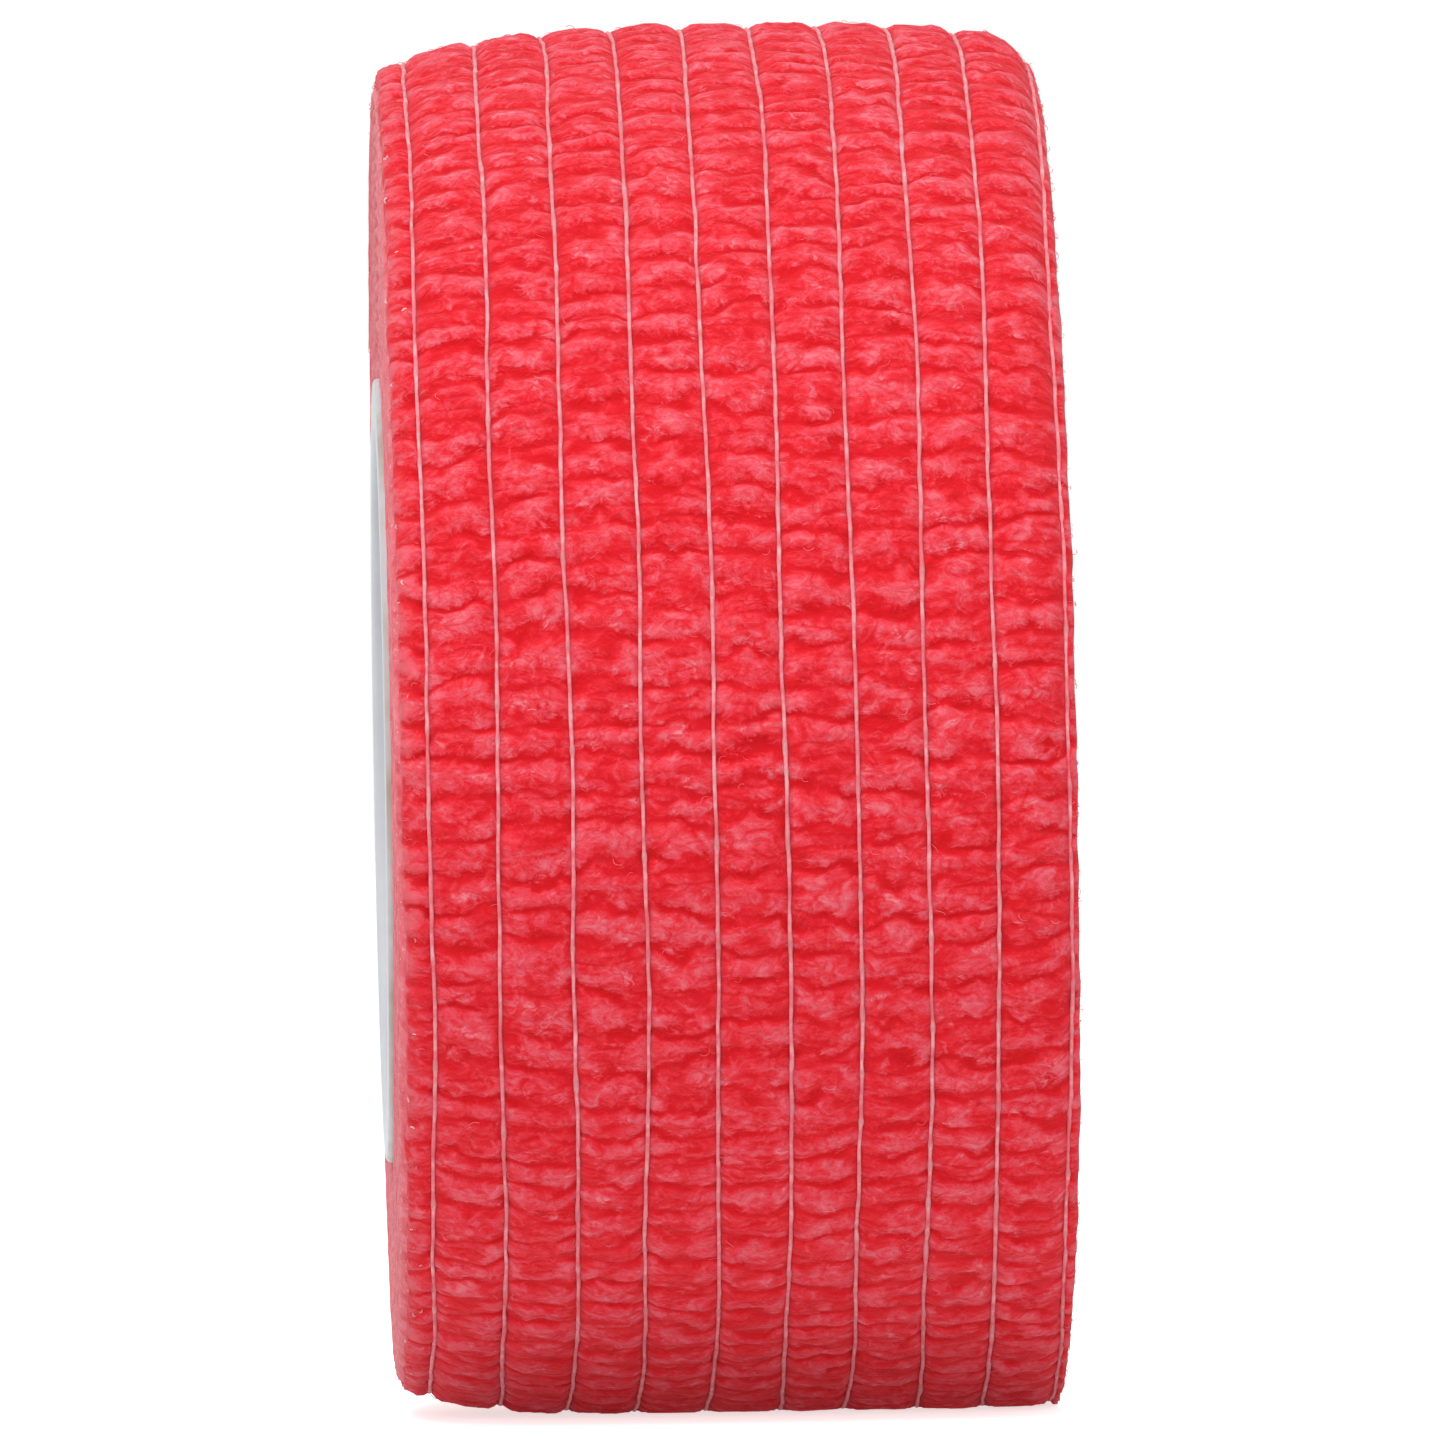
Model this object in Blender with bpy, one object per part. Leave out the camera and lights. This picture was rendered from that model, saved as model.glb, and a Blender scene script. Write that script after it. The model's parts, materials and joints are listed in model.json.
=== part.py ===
"""A roll of self-adherent elastic crepe tape, wound on a plastic core tube and standing on its rim.

The tape is one long strip of creped nonwoven web. Elastic threads run along it, and between
them the web puffs up into channels. Four kinds of piece make the roll:

  core_tube                 the plastic tube that the strip is wound on
  inner_turns               the strip from its start on the core to the start of the last turn
  outer_turn                the last whole turn, with its channels, and a thread in each valley
  free_end                  the end of the strip, which peels off the roll, with its threads

The roll's axis lies along X. The web's running angle starts at the bottom of the roll and goes
up the front (-Y), over the top and down the back (+Y), once for each turn.
"""

import math

import bpy
import bmesh
from mathutils import Vector

MM = 0.001

# Core tube
CORE_BORE_RADIUS = 13.2 * MM
CORE_WALL = 1.6 * MM
CORE_STAND_OUT = 0.20 * MM  # how far each end stands out of the winding
CORE_EDGE_ROUND = 0.25 * MM

# The strip's cross-section
THREAD_COUNT = 10
THREAD_PITCH = 2.6 * MM
THREAD_DIAMETER = 0.18 * MM
THREAD_RECESS = 0.10 * MM  # how far a thread's top lies under the channels' tops
LEFT_MARGIN = 1.0 * MM  # from the strip's left edge to its first thread
RIGHT_MARGIN = 0.45 * MM
WEB_UNDER_THREAD = 0.29 * MM
VALLEY_SLOPE = 0.25 * MM  # the width of the slope from a valley to a channel's top

# The winding
WHOLE_TURNS = 16
CORE_DROP = 1.5 * MM  # how far the core has sunk below the middle of the soft winding
REST_FLAT_WIDTH = 8.0 * MM  # the roll flattens this far where it stands
FREE_END_LENGTH = 28.0 * MM
FREE_END_TIP_ANGLE = math.radians(291)  # from the bottom of the roll
FACETS_PER_TURN = 36

# Clearances
CORE_SEAT_GAP = 0.15 * MM  # between the core and the facets of the first turn
TURN_GAP = 0.05 * MM
THREAD_SEAT_GAP = 0.04 * MM
CUT_GAP = 0.12 * MM  # where one piece of the strip ends and the next begins

# Sizes that follow from those
CORE_OUTER_RADIUS = CORE_BORE_RADIUS + CORE_WALL
WEB_WIDTH = LEFT_MARGIN + (THREAD_COUNT - 1) * THREAD_PITCH + RIGHT_MARGIN
VALLEY_DEPTH = THREAD_SEAT_GAP + THREAD_DIAMETER + THREAD_RECESS
VALLEY_FLOOR = THREAD_DIAMETER + 2 * THREAD_SEAT_GAP
WEB_THICKNESS = WEB_UNDER_THREAD + VALLEY_DEPTH
TURN_PITCH = WEB_THICKNESS + TURN_GAP
FIRST_TURN_RADIUS = CORE_OUTER_RADIUS + CORE_SEAT_GAP
WOUND_DEPTH = TURN_PITCH * (WHOLE_TURNS + 1)
LEAN = CORE_DROP / WOUND_DEPTH

FULL_TURN = 2 * math.pi
FLAT_HALF_ANGLE = math.asin(REST_FLAT_WIDTH / 2 / (FIRST_TURN_RADIUS + WOUND_DEPTH - CORE_DROP))
FACET_ANGLE = (FULL_TURN - 2 * FLAT_HALF_ANGLE) / (FACETS_PER_TURN - 1)


def wound_turns(angle):
    """How many turns lie under the strip at a running angle. It doesn't grow across the flat."""
    whole, within = divmod(angle, FULL_TURN)
    share = (within - FLAT_HALF_ANGLE) / (FULL_TURN - 2 * FLAT_HALF_ANGLE)
    return whole + min(max(share, 0.0), 1.0)


def inner_radius(angle):
    """The strip's inner face. Each turn is thinner under the core than over it, so the core sinks."""
    growth = TURN_PITCH * wound_turns(angle)
    return FIRST_TURN_RADIUS + growth * (1 - LEAN * math.cos(angle))


def outer_radius(angle):
    """The tops of the strip's channels, just inside the next turn's inner face."""
    return inner_radius(angle + FULL_TURN) - TURN_GAP


def on_roll(x, radius, angle):
    """A point of the roll, with the core's axis as the X axis."""
    return Vector((x, -radius * math.sin(angle), -radius * math.cos(angle)))


def facet_angles(start, end):
    """The running angles at which a stretch of the strip has a cross-section.

    Every turn bends at the same angles, so its facets lie parallel to those of its neighbours.
    """
    angles = [start]
    closest = FACET_ANGLE / 100
    for turn in range(int(start // FULL_TURN), int(end // FULL_TURN) + 1):
        for facet in range(FACETS_PER_TURN):
            angle = turn * FULL_TURN + FLAT_HALF_ANGLE + facet * FACET_ANGLE
            if start + closest < angle < end - closest:
                angles.append(angle)
    return angles + [end]


def thread_places():
    """The X of each thread, from left to right."""
    first = -WEB_WIDTH / 2 + LEFT_MARGIN
    return [first + index * THREAD_PITCH for index in range(THREAD_COUNT)]


def plain_profile():
    """The outer face of the strip as (x, depth under the channels' tops), with no channels."""
    return [(-WEB_WIDTH / 2, 0.0), (WEB_WIDTH / 2, 0.0)]


def channelled_profile():
    """The outer face with a valley at each thread and a flat-topped channel between."""
    points = [(-WEB_WIDTH / 2, 0.0)]
    for x in thread_places():
        shoulder = VALLEY_FLOOR / 2 + VALLEY_SLOPE
        points.append((x - shoulder, 0.0))
        points.append((x - VALLEY_FLOOR / 2, VALLEY_DEPTH))
        points.append((x + VALLEY_FLOOR / 2, VALLEY_DEPTH))
        points.append((x + shoulder, 0.0))
    points.append((WEB_WIDTH / 2, 0.0))
    return points


def new_material(name, colour, roughness):
    """A matt or satin Principled material."""
    material = bpy.data.materials.new(name)
    material.use_nodes = True
    shader = material.node_tree.nodes["Principled BSDF"]
    shader.inputs["Base Color"].default_value = (*colour, 1.0)
    shader.inputs["Roughness"].default_value = roughness
    shader.inputs["Metallic"].default_value = 0.0
    return material


def new_axis(name, place, parent=None):
    """An empty that carries pieces and marks an axis."""
    axis = bpy.data.objects.new(name, None)
    axis.location = place
    axis.parent = parent
    bpy.context.scene.collection.objects.link(axis)
    return axis


def new_piece(name, data, material, parent):
    """An object of its own for a mesh or a curve."""
    data.materials.append(material)
    piece = bpy.data.objects.new(name, data)
    piece.parent = parent
    bpy.context.scene.collection.objects.link(piece)
    return piece


def core_profile():
    """The tube's wall in the XZ plane, down its outer side and up its bore, with rounded rims."""
    half = WEB_WIDTH / 2 + CORE_STAND_OUT
    rim = CORE_EDGE_ROUND
    outer, bore = CORE_OUTER_RADIUS, CORE_BORE_RADIUS
    return [
        (outer - rim, half),
        (outer, half - rim),
        (outer, rim - half),
        (outer - rim, -half),
        (bore + rim, -half),
        (bore, rim - half),
        (bore, half - rim),
        (bore + rim, half),
    ]


def make_core_tube(roll_axis, material):
    """A turned tube: its wall's outline, swept once round by a Screw modifier."""
    mesh = bpy.data.meshes.new("core_tube")
    outline = [(radius, 0.0, height) for radius, height in core_profile()]
    edges = [(i, (i + 1) % len(outline)) for i in range(len(outline))]
    mesh.from_pydata(outline, edges, [])
    tube = new_piece("core_tube", mesh, material, roll_axis)
    tube.rotation_euler = (0.0, math.radians(90), 0.0)
    turn = tube.modifiers.new("turn", "SCREW")
    turn.axis = "Z"
    turn.angle = FULL_TURN
    turn.steps = 48
    turn.render_steps = turn.steps
    turn.use_merge_vertices = True
    turn.merge_threshold = 0.00001
    turn.use_smooth_shade = True
    return tube


def make_strip(name, start, end, profile, material, parent, origin):
    """A stretch of the web: its cross-section, carried along the winding from start to end."""
    body = bmesh.new()
    sections = []
    for angle in facet_angles(start, end):
        inside, outside = inner_radius(angle), outer_radius(angle)
        ring = [on_roll(x, outside - depth, angle) for x, depth in profile]
        ring.append(on_roll(WEB_WIDTH / 2, inside, angle))
        ring.append(on_roll(-WEB_WIDTH / 2, inside, angle))
        sections.append([body.verts.new(point - origin) for point in ring])
    for ring, following in zip(sections, sections[1:]):
        for i in range(len(ring)):
            j = (i + 1) % len(ring)
            body.faces.new((ring[i], ring[j], following[j], following[i]))
    body.faces.new(reversed(sections[0]))
    body.faces.new(sections[-1])
    bmesh.ops.recalc_face_normals(body, faces=body.faces)
    mesh = bpy.data.meshes.new(name)
    body.to_mesh(mesh)
    body.free()
    mesh.shade_smooth()
    mesh.set_sharp_from_angle(angle=math.radians(30))
    return new_piece(name, mesh, material, parent)


def make_thread(name, x, start, end, material, parent, origin):
    """An elastic thread, lying along the floor of its valley."""
    lift = THREAD_SEAT_GAP + THREAD_DIAMETER / 2 - VALLEY_DEPTH
    curve = bpy.data.curves.new(name, "CURVE")
    curve.dimensions = "3D"
    curve.bevel_depth = THREAD_DIAMETER / 2
    curve.bevel_resolution = 1
    curve.use_fill_caps = True
    angles = facet_angles(start, end)
    spline = curve.splines.new("POLY")
    spline.points.add(len(angles) - 1)
    for point, angle in zip(spline.points, angles):
        place = on_roll(x, outer_radius(angle) + lift, angle) - origin
        point.co = (*place, 1.0)
    return new_piece(name, curve, material, parent)


def main():
    for old in list(bpy.data.objects):
        bpy.data.objects.remove(old, do_unlink=True)

    core_plastic = new_material("core_plastic", (0.80, 0.80, 0.81), 0.45)
    wound_web = new_material("wound_web", (0.62, 0.10, 0.12), 0.95)
    crepe_web = new_material("crepe_web", (0.80, 0.05, 0.07), 0.92)
    free_web = new_material("free_web", (0.80, 0.06, 0.08), 0.92)
    elastic = new_material("elastic", (0.93, 0.55, 0.57), 0.60)

    tip = WHOLE_TURNS * FULL_TURN + FREE_END_TIP_ANGLE
    free_arc = FREE_END_LENGTH / outer_radius(tip)
    root = tip - free_arc
    cut = CUT_GAP / outer_radius(root)

    # The roll stands on the flat, so the core's axis is this high
    last_bottom = WHOLE_TURNS * FULL_TURN + FLAT_HALF_ANGLE
    axis_height = outer_radius(last_bottom) * math.cos(FLAT_HALF_ANGLE)
    hinge = on_roll(0.0, outer_radius(root), root)
    roll_axis = new_axis("roll_axis", (0.0, 0.0, axis_height))
    free_end_hinge = new_axis("free_end_hinge", hinge, roll_axis)
    centre = Vector((0.0, 0.0, 0.0))

    make_core_tube(roll_axis, core_plastic)
    last_turn = root - FULL_TURN
    make_strip(
        "inner_turns", FLAT_HALF_ANGLE, last_turn - cut, plain_profile(), wound_web, roll_axis, centre
    )
    make_strip("outer_turn", last_turn, root - cut, channelled_profile(), crepe_web, roll_axis, centre)
    make_strip("free_end", root, tip, channelled_profile(), free_web, free_end_hinge, hinge)
    for number, x in enumerate(thread_places(), start=1):
        on_turn = f"elastic_thread_{number:02d}"
        on_free_end = f"free_end_thread_{number:02d}"
        make_thread(on_turn, x, last_turn, root - cut, elastic, roll_axis, centre)
        make_thread(on_free_end, x, root, tip, elastic, free_end_hinge, hinge)


main()
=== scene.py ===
"""Dresses the packed tape roll as a roll of creped elastic wrap, and sets it in a plain studio.

The packed model gives every place and size. Each operator makes one piece, or one group of like
pieces, and hides the packed nodes it stands for. Sums on the winding are in millimetres about the
core's axis, and meshes are in metres.
"""
import json
import math

import bmesh
import bpy
import numpy as np
from mathutils import Matrix, Vector


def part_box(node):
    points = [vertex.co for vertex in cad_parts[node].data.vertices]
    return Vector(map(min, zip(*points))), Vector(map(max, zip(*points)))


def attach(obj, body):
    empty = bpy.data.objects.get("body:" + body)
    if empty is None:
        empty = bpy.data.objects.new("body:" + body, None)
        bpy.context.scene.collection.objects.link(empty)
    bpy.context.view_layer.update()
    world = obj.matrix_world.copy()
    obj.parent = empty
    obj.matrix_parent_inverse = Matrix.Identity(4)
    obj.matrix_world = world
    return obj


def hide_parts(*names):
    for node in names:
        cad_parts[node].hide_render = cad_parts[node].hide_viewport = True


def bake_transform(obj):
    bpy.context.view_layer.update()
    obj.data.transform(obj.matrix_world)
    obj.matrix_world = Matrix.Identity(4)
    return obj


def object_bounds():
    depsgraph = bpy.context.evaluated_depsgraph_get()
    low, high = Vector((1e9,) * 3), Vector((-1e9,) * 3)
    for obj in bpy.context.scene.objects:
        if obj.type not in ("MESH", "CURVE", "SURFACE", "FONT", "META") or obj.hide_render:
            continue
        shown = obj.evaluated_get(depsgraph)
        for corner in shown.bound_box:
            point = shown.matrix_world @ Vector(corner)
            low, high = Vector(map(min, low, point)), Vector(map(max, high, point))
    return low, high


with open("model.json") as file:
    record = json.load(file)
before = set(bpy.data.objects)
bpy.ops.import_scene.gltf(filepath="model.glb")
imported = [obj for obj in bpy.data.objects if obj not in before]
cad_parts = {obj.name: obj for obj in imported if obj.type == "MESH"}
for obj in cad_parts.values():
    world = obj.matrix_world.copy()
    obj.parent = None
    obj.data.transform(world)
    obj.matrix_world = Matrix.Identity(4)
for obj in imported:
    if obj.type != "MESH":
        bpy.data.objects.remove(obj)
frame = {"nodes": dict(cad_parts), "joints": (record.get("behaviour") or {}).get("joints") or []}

bl_info = {
    "name": "Crepe Wrap Roll",
    "version": (1, 0, 0),
    "blender": (4, 5, 0),
    "location": "View3D > Sidebar > Wrap Roll",
    "description": "Makes the pieces of a roll of creped elastic wrap around its packed frame",
    "category": "Object",
}

MM = 0.001
TURN = 2 * math.pi
ROLL, FREE_END = "roll", "free_end"
CAD_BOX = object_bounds()

CORE_LOW, CORE_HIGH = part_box("core_tube")
CORE_RADIUS = (CORE_HIGH.y - CORE_LOW.y) / 2
AXIS_Z = (CORE_LOW.z + CORE_HIGH.z) / 2
WRAP_LOW, WRAP_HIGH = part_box("outer_turn")
THREAD_COUNT = sum(name.startswith("elastic_thread") for name in frame["nodes"])

# Along the strip, in mm from the hinge: where its last turn and its free end are divided, and where
# the free end has bent clear of the roll.
SEAM_RUN, CLEAR_RUN = -1.2, 8.0

# The narrow folds' spacing, as a share of the broad folds' own.
NARROW = 0.47

# The first turns lie round the core and climb over the strip's start in the last share of a turn.
# Further out this evens out, until the turns form a plain spiral.
HUGGING_TURNS, CLIMB = 10, 0.93

# How the roll's soft edges sink: 1 for the left edge or -1 for the right, millimetres all the way
# round, millimetres more at the top, and how far from the edge that reaches.
SOFT_EDGES = ((1, 1.25, 0.35, 3.6), (1, 0.10, 0.0, 0.4), (-1, 0.15, 1.00, 2.8), (-1, 0.40, 0.85, 0.45))

# What is uneven in the web: the seed of its noise, its strength, and how far one cell of it reaches
# along the strip and across it. Where only the first reach is given, each edge, thread or channel has
# noise of its own. Shifts of folds are in folds, vigour and puff are shares, and the rest is in mm.
UNEVEN = {
    "thread_drift": (40, 0.17, 14.0),
    "thread_waver": (41, 0.035, 1.9),
    "left_ruffle": (42, 0.07, 1.3),
    "left_drift": (42, 0.09, 6.0),
    "right_ruffle": (42, 0.05, 1.2),
    "right_drift": (42, 0.06, 7.0),
    "fold_drift": (43, 0.50, 6.0, 10.0),
    "fold_bend": (44, 0.23, 1.9, 1.9),
    "fold_step": (45, 0.24, 2.6),
    "fold_jog": (56, 0.30, 0.8, 0.9),
    "vigour": (46, 1.0, 1.5, 1.35),
    "narrow_drift": (47, 0.8, 2.3, 3.0),
    "narrow_bend": (48, 0.34, 0.9, 1.1),
    "lump": (49, 0.050, 1.5, 1.5),
    "pebble": (50, 0.068, 0.6, 0.75),
    "grain": (51, 0.030, 0.40, 0.5),
    "puff": (52, 0.14, 5.0),
    "thread_lift": (53, 0.02, 1.3),
}


def middle_x(node):
    """The X of a packed node's middle."""
    low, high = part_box(node)
    return (low.x + high.x) / 2


FIRST_THREAD_X = middle_x("elastic_thread_01")
THREAD_PITCH = (middle_x(f"elastic_thread_{THREAD_COUNT:02d}") - FIRST_THREAD_X) / (THREAD_COUNT - 1)


def linear(hex_colour):
    """An sRGB hex colour as the linear RGB that shaders work in."""
    channels = [int(hex_colour[i:i + 2], 16) / 255 for i in (1, 3, 5)]
    return tuple(c / 12.92 if c <= 0.04045 else ((c + 0.055) / 1.055) ** 2.4 for c in channels)


def number(name, description, default, **how):
    """A property that holds a number."""
    return bpy.props.FloatProperty(name=name, description=description, default=default, **how)


def length(name, description, default):
    """A property that holds a length."""
    return number(name, description, default, unit="LENGTH", precision=5)


def colour(name, description, default):
    """A property that holds a colour."""
    return bpy.props.FloatVectorProperty(
        name=name, description=description, default=linear(default), subtype="COLOR", size=3, min=0, max=1
    )


# ---------------------------------------------------------------- sizes and colours


class WindingSizes(bpy.types.PropertyGroup):
    """The spiral that the strip is wound on."""

    width: length("Strip width", "From one cut edge of the strip to the other", WRAP_HIGH.x - WRAP_LOW.x)
    core_wall: length("Core wall", "Thickness of the core tube's wall", 1.6 * MM)
    seat_gap: length("Seat gap", "Between the core tube and the first turn", 0.15 * MM)
    pitch: length("Turn pitch", "How much each turn adds to the roll's radius", 0.66 * MM)
    gap: length("Turn gap", "Between one turn and the next", 0.05 * MM)
    rest_flat: length("Rest flat", "Width of the flat that the roll stands on", 8.0 * MM)
    core_drop: length("Core drop", "How far the core has sunk in the soft winding", 1.5 * MM)
    turns: bpy.props.IntProperty(
        name="Whole turns", description="Whole turns under the last one", default=16, min=2
    )
    free_length: length("Free end", "Length of the strip that peels off the roll", 28.0 * MM)
    tip_angle: number(
        "Tip angle", "Where the strip ends, from the bottom up the front and over", math.radians(291),
        unit="ROTATION",
    )
    skew: length("Skew", "How far the last turn is wound askew to either side", 0.10 * MM)
    aside: length("Aside", "How far right of the turns under it the last turn lies", 0.20 * MM)


class ThreadSizes(bpy.types.PropertyGroup):
    """The elastic threads and their places across the strip."""

    count: bpy.props.IntProperty(name="Threads", description="Threads across the strip", default=THREAD_COUNT)
    pitch: length("Thread pitch", "From one thread to the next", THREAD_PITCH)
    margin: length("Left margin", "From the left cut edge to the first thread", FIRST_THREAD_X - WRAP_LOW.x)
    diameter: length("Thread diameter", "Outside diameter of a covered thread", 0.15 * MM)
    depth: length("Thread depth", "From the channels' tops down to a thread's middle", 0.20 * MM)


class CrepeSizes(bpy.types.PropertyGroup):
    """The channels and the crosswise folds of the creped web."""

    valley: length("Valley depth", "From a channel's top down to the web under a thread", 0.29 * MM)
    fold_spacing: length("Fold spacing", "From one crosswise fold to the next", 1.45 * MM)
    fold_height: length("Fold height", "From a crease to the top of a fold", 0.19 * MM)
    right_tuck: length("Right tuck", "How far the right margin is drawn in", 0.15 * MM)
    row_step: length("Row step", "Length of the web's mesh faces along the strip", 0.174 * MM)


class WrapColours(bpy.types.PropertyGroup):
    """Colours of the finished pieces."""

    web: colour("Web", "The dyed web on the flanks of its folds", "#F53543")
    # painted shade: a crease gets this darker, deeper red for its shade and the light bounced between its
    # fibres
    crease: colour("Crease", "The dyed web deep in a crease", "#DF0B18")
    pale: colour("Fibres", "Loose and rubbed fibres on the folds", "#FA7482")
    # partly painted sheen: paler for the lint on the cut ends, and paler still to light the roll's side faces
    edge: colour("Cut edge", "The cut edges of the strip, with lint on them", "#EE6F7A")
    thread: colour("Thread", "The covered elastic threads", "#F48892")
    fleck: colour("Flecks", "Undyed lint and broken fibres", "#F7DADB")
    core: colour("Core", "The plastic of the core tube", "#DADBDF")


class StudioSizes(bpy.types.PropertyGroup):
    """The camera, the lamps and the world."""

    distance: length("Camera distance", "From the camera to the middle of the roll", 0.715)
    lens: number("Focal length", "Of a camera 36 mm wide", 471.6, min=20, unit="CAMERA")
    yaw: number("Yaw", "The camera's swing to the left", math.radians(1.9), unit="ROTATION")
    roll: number("Roll", "The camera's lean", math.radians(-0.98), unit="ROTATION")
    aim: bpy.props.FloatVectorProperty(
        name="Aim", description="From the roll's middle to where the camera aims",
        default=(0.375 * MM, 0.0, -0.2 * MM), subtype="TRANSLATION", unit="LENGTH",
    )
    key: number("Key lamp", "Power in watts", 2.25, unit="POWER")
    fill: number("Front lamp", "Power in watts", 0.95, unit="POWER")
    world: number("World", "Strength of the room's light", 0.55)


# ---------------------------------------------------------------- node helpers


def rgba(shade):
    """A hex colour, or three linear channels, as the linear RGBA of a socket."""
    return (*(linear(shade) if isinstance(shade, str) else shade), 1.0)


def plug(tree, node, sockets):
    """Links or sets input sockets of a node."""
    for key, value in sockets.items():
        socket = node.inputs[key]
        if isinstance(value, bpy.types.NodeSocket):
            tree.links.new(value, socket)
        else:
            socket.default_value = rgba(value) if socket.type == "RGBA" else value


def add(tree, kind, sockets=None, output=0, stops=(), **settings):
    """Adds a node and returns one of its outputs, or with None all of them. Stops are a ramp's."""
    node = tree.nodes.new(kind)
    for name, value in settings.items():
        setattr(node, name, value)
    for i, (place, shade) in enumerate(stops):
        elements = node.color_ramp.elements
        element = elements[i] if i < len(elements) else elements.new(place)
        element.position = place
        element.color = rgba(shade)
    plug(tree, node, sockets or {})
    return node.outputs if output is None else node.outputs[output]


def seen_straight(tree):
    """1 where the eye, gloss or glass sees a thing, and 0 where it only lights others."""
    path = add(tree, "ShaderNodeLightPath", output=None)
    seen = path["Is Camera Ray"]
    for other in ("Is Glossy Ray", "Is Transmission Ray"):
        seen = add(tree, "ShaderNodeMath", {0: seen, 1: path[other]}, operation="MAXIMUM")
    return seen


SOCKET_KINDS = {float: "Float", int: "Int", str: "String", type(None): "Material"}


def new_tree(name, inputs):
    """A Geometry Nodes tree with named inputs, and those inputs as a dict of sockets."""
    tree = bpy.data.node_groups.new(name, "GeometryNodeTree")
    tree.interface.new_socket("Geometry", in_out="INPUT", socket_type="NodeSocketGeometry")
    for label, default in inputs.items():
        kind = f"NodeSocket{SOCKET_KINDS[type(default)]}"
        socket = tree.interface.new_socket(label, in_out="INPUT", socket_type=kind)
        if default is not None:
            socket.default_value = default
    tree.interface.new_socket("Geometry", in_out="OUTPUT", socket_type="NodeSocketGeometry")
    return tree, {socket.name: socket for socket in add(tree, "NodeGroupInput", output=None)}


def close_tree(tree, body, material):
    """Makes the body smooth and real, sets its material and hands it out."""
    body = add(tree, "GeometryNodeSetShadeSmooth", {"Geometry": body})
    body = add(tree, "GeometryNodeRealizeInstances", {"Geometry": body})
    body = add(tree, "GeometryNodeSetMaterial", {"Geometry": body, "Material": material})
    add(tree, "NodeGroupOutput", {"Geometry": body}, output=None)
    return tree


# ---------------------------------------------------------------- mesh helpers


def new_object(name, mesh):
    """An object at the origin for a mesh."""
    thing = bpy.data.objects.new(name, mesh)
    bpy.context.scene.collection.objects.link(thing)
    return thing


def grown(name, seed, tree, values):
    """Runs a tree on a seed mesh and returns its result as a plain mesh object."""
    thing = new_object(name, seed)
    nodes = thing.modifiers.new("nodes", "NODES")
    nodes.node_group = tree
    for item in tree.interface.items_tree:
        if item.item_type == "SOCKET" and item.in_out == "INPUT" and item.name in values:
            nodes[item.identifier] = values[item.name]
    depsgraph = bpy.context.evaluated_depsgraph_get()
    mesh = bpy.data.meshes.new_from_object(
        thing.evaluated_get(depsgraph), preserve_all_data_layers=True, depsgraph=depsgraph
    )
    if not mesh.polygons:
        raise RuntimeError(f"{name}: its node tree made no faces")
    thing.modifiers.clear()
    thing.data = mesh
    mesh.name = name
    return thing


def ring_faces(rows, ring, closed=False):
    """Faces between rows of points in rings. Caps end them, unless the last row meets the first."""
    index = np.arange(rows * ring).reshape(rows, ring)
    after = np.roll(index, -1, axis=1)
    quads = np.stack([index, after, np.roll(after, -1, axis=0), np.roll(index, -1, axis=0)], -1)
    if closed:
        return quads.reshape(-1, 4).tolist()
    return quads[:-1].reshape(-1, 4).tolist() + [index[0][::-1].tolist(), index[-1].tolist()]


def solid_mesh(name, points, faces, sharp):
    """A mesh with its normals outward, smooth but for edges sharper than an angle in degrees."""
    mesh = bpy.data.meshes.new(name)
    mesh.from_pydata(points.reshape(-1, 3).tolist(), [], faces)
    shell = bmesh.new()
    shell.from_mesh(mesh)
    bmesh.ops.recalc_face_normals(shell, faces=shell.faces)
    shell.to_mesh(mesh)
    shell.free()
    mesh.shade_smooth()
    mesh.set_sharp_from_angle(angle=math.radians(sharp))
    return mesh


def keep(mesh, name, values):
    """Stores a number or a vector for each point of a mesh of rows and rings."""
    kind, field = ("FLOAT_VECTOR", "vector") if values.ndim == 3 else ("FLOAT", "value")
    mesh.attributes.new(name, kind, "POINT").data.foreach_set(field, values.astype(np.float32).ravel())


def finished(thing, slot, *nodes, bend=None):
    """Puts a piece on the roll, or for a piece over a bend bakes its place into its mesh, and hides its
    packed nodes. The slot is not used.
    """
    if bend:
        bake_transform(thing)
    else:
        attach(thing, ROLL)
    if nodes:
        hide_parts(*nodes)


# ---------------------------------------------------------------- winding and relief


class Noise:
    """Smooth gradient noise of a given strength, with the reach of one cell in both directions."""

    def __init__(self, seed, strength, along, across=1.0):
        angles = np.random.default_rng(seed).uniform(0, TURN, (256, 256))
        self.slope_u, self.slope_v = np.cos(angles), np.sin(angles)
        self.strength, self.along, self.across = strength, along, across

    def __call__(self, run, x):
        u, v = np.asarray(run / self.along, float), np.asarray(x / self.across, float)
        u, v = np.broadcast_arrays(u, v)
        cell_u, cell_v = np.floor(u).astype(int), np.floor(v).astype(int)
        du, dv = u - cell_u, v - cell_v
        fade_u, fade_v = (t * t * t * (t * (t * 6 - 15) + 10) for t in (du, dv))
        corners = []
        for i in (0, 1):
            for j in (0, 1):
                at = (cell_u + i) % 256, (cell_v + j) % 256
                corners.append(self.slope_u[at] * (du - i) + self.slope_v[at] * (dv - j))
        low = corners[0] + fade_v * (corners[1] - corners[0])
        high = corners[2] + fade_v * (corners[3] - corners[2])
        # 1.6 brings it to about -1 to 1
        return self.strength * (1.6 * (low + fade_u * (high - low)))


def smooth(x):
    """Eases from 0 to 1 as x goes from 0 to 1."""
    x = np.clip(x, 0, 1)
    return x * x * (3 - 2 * x)


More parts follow.
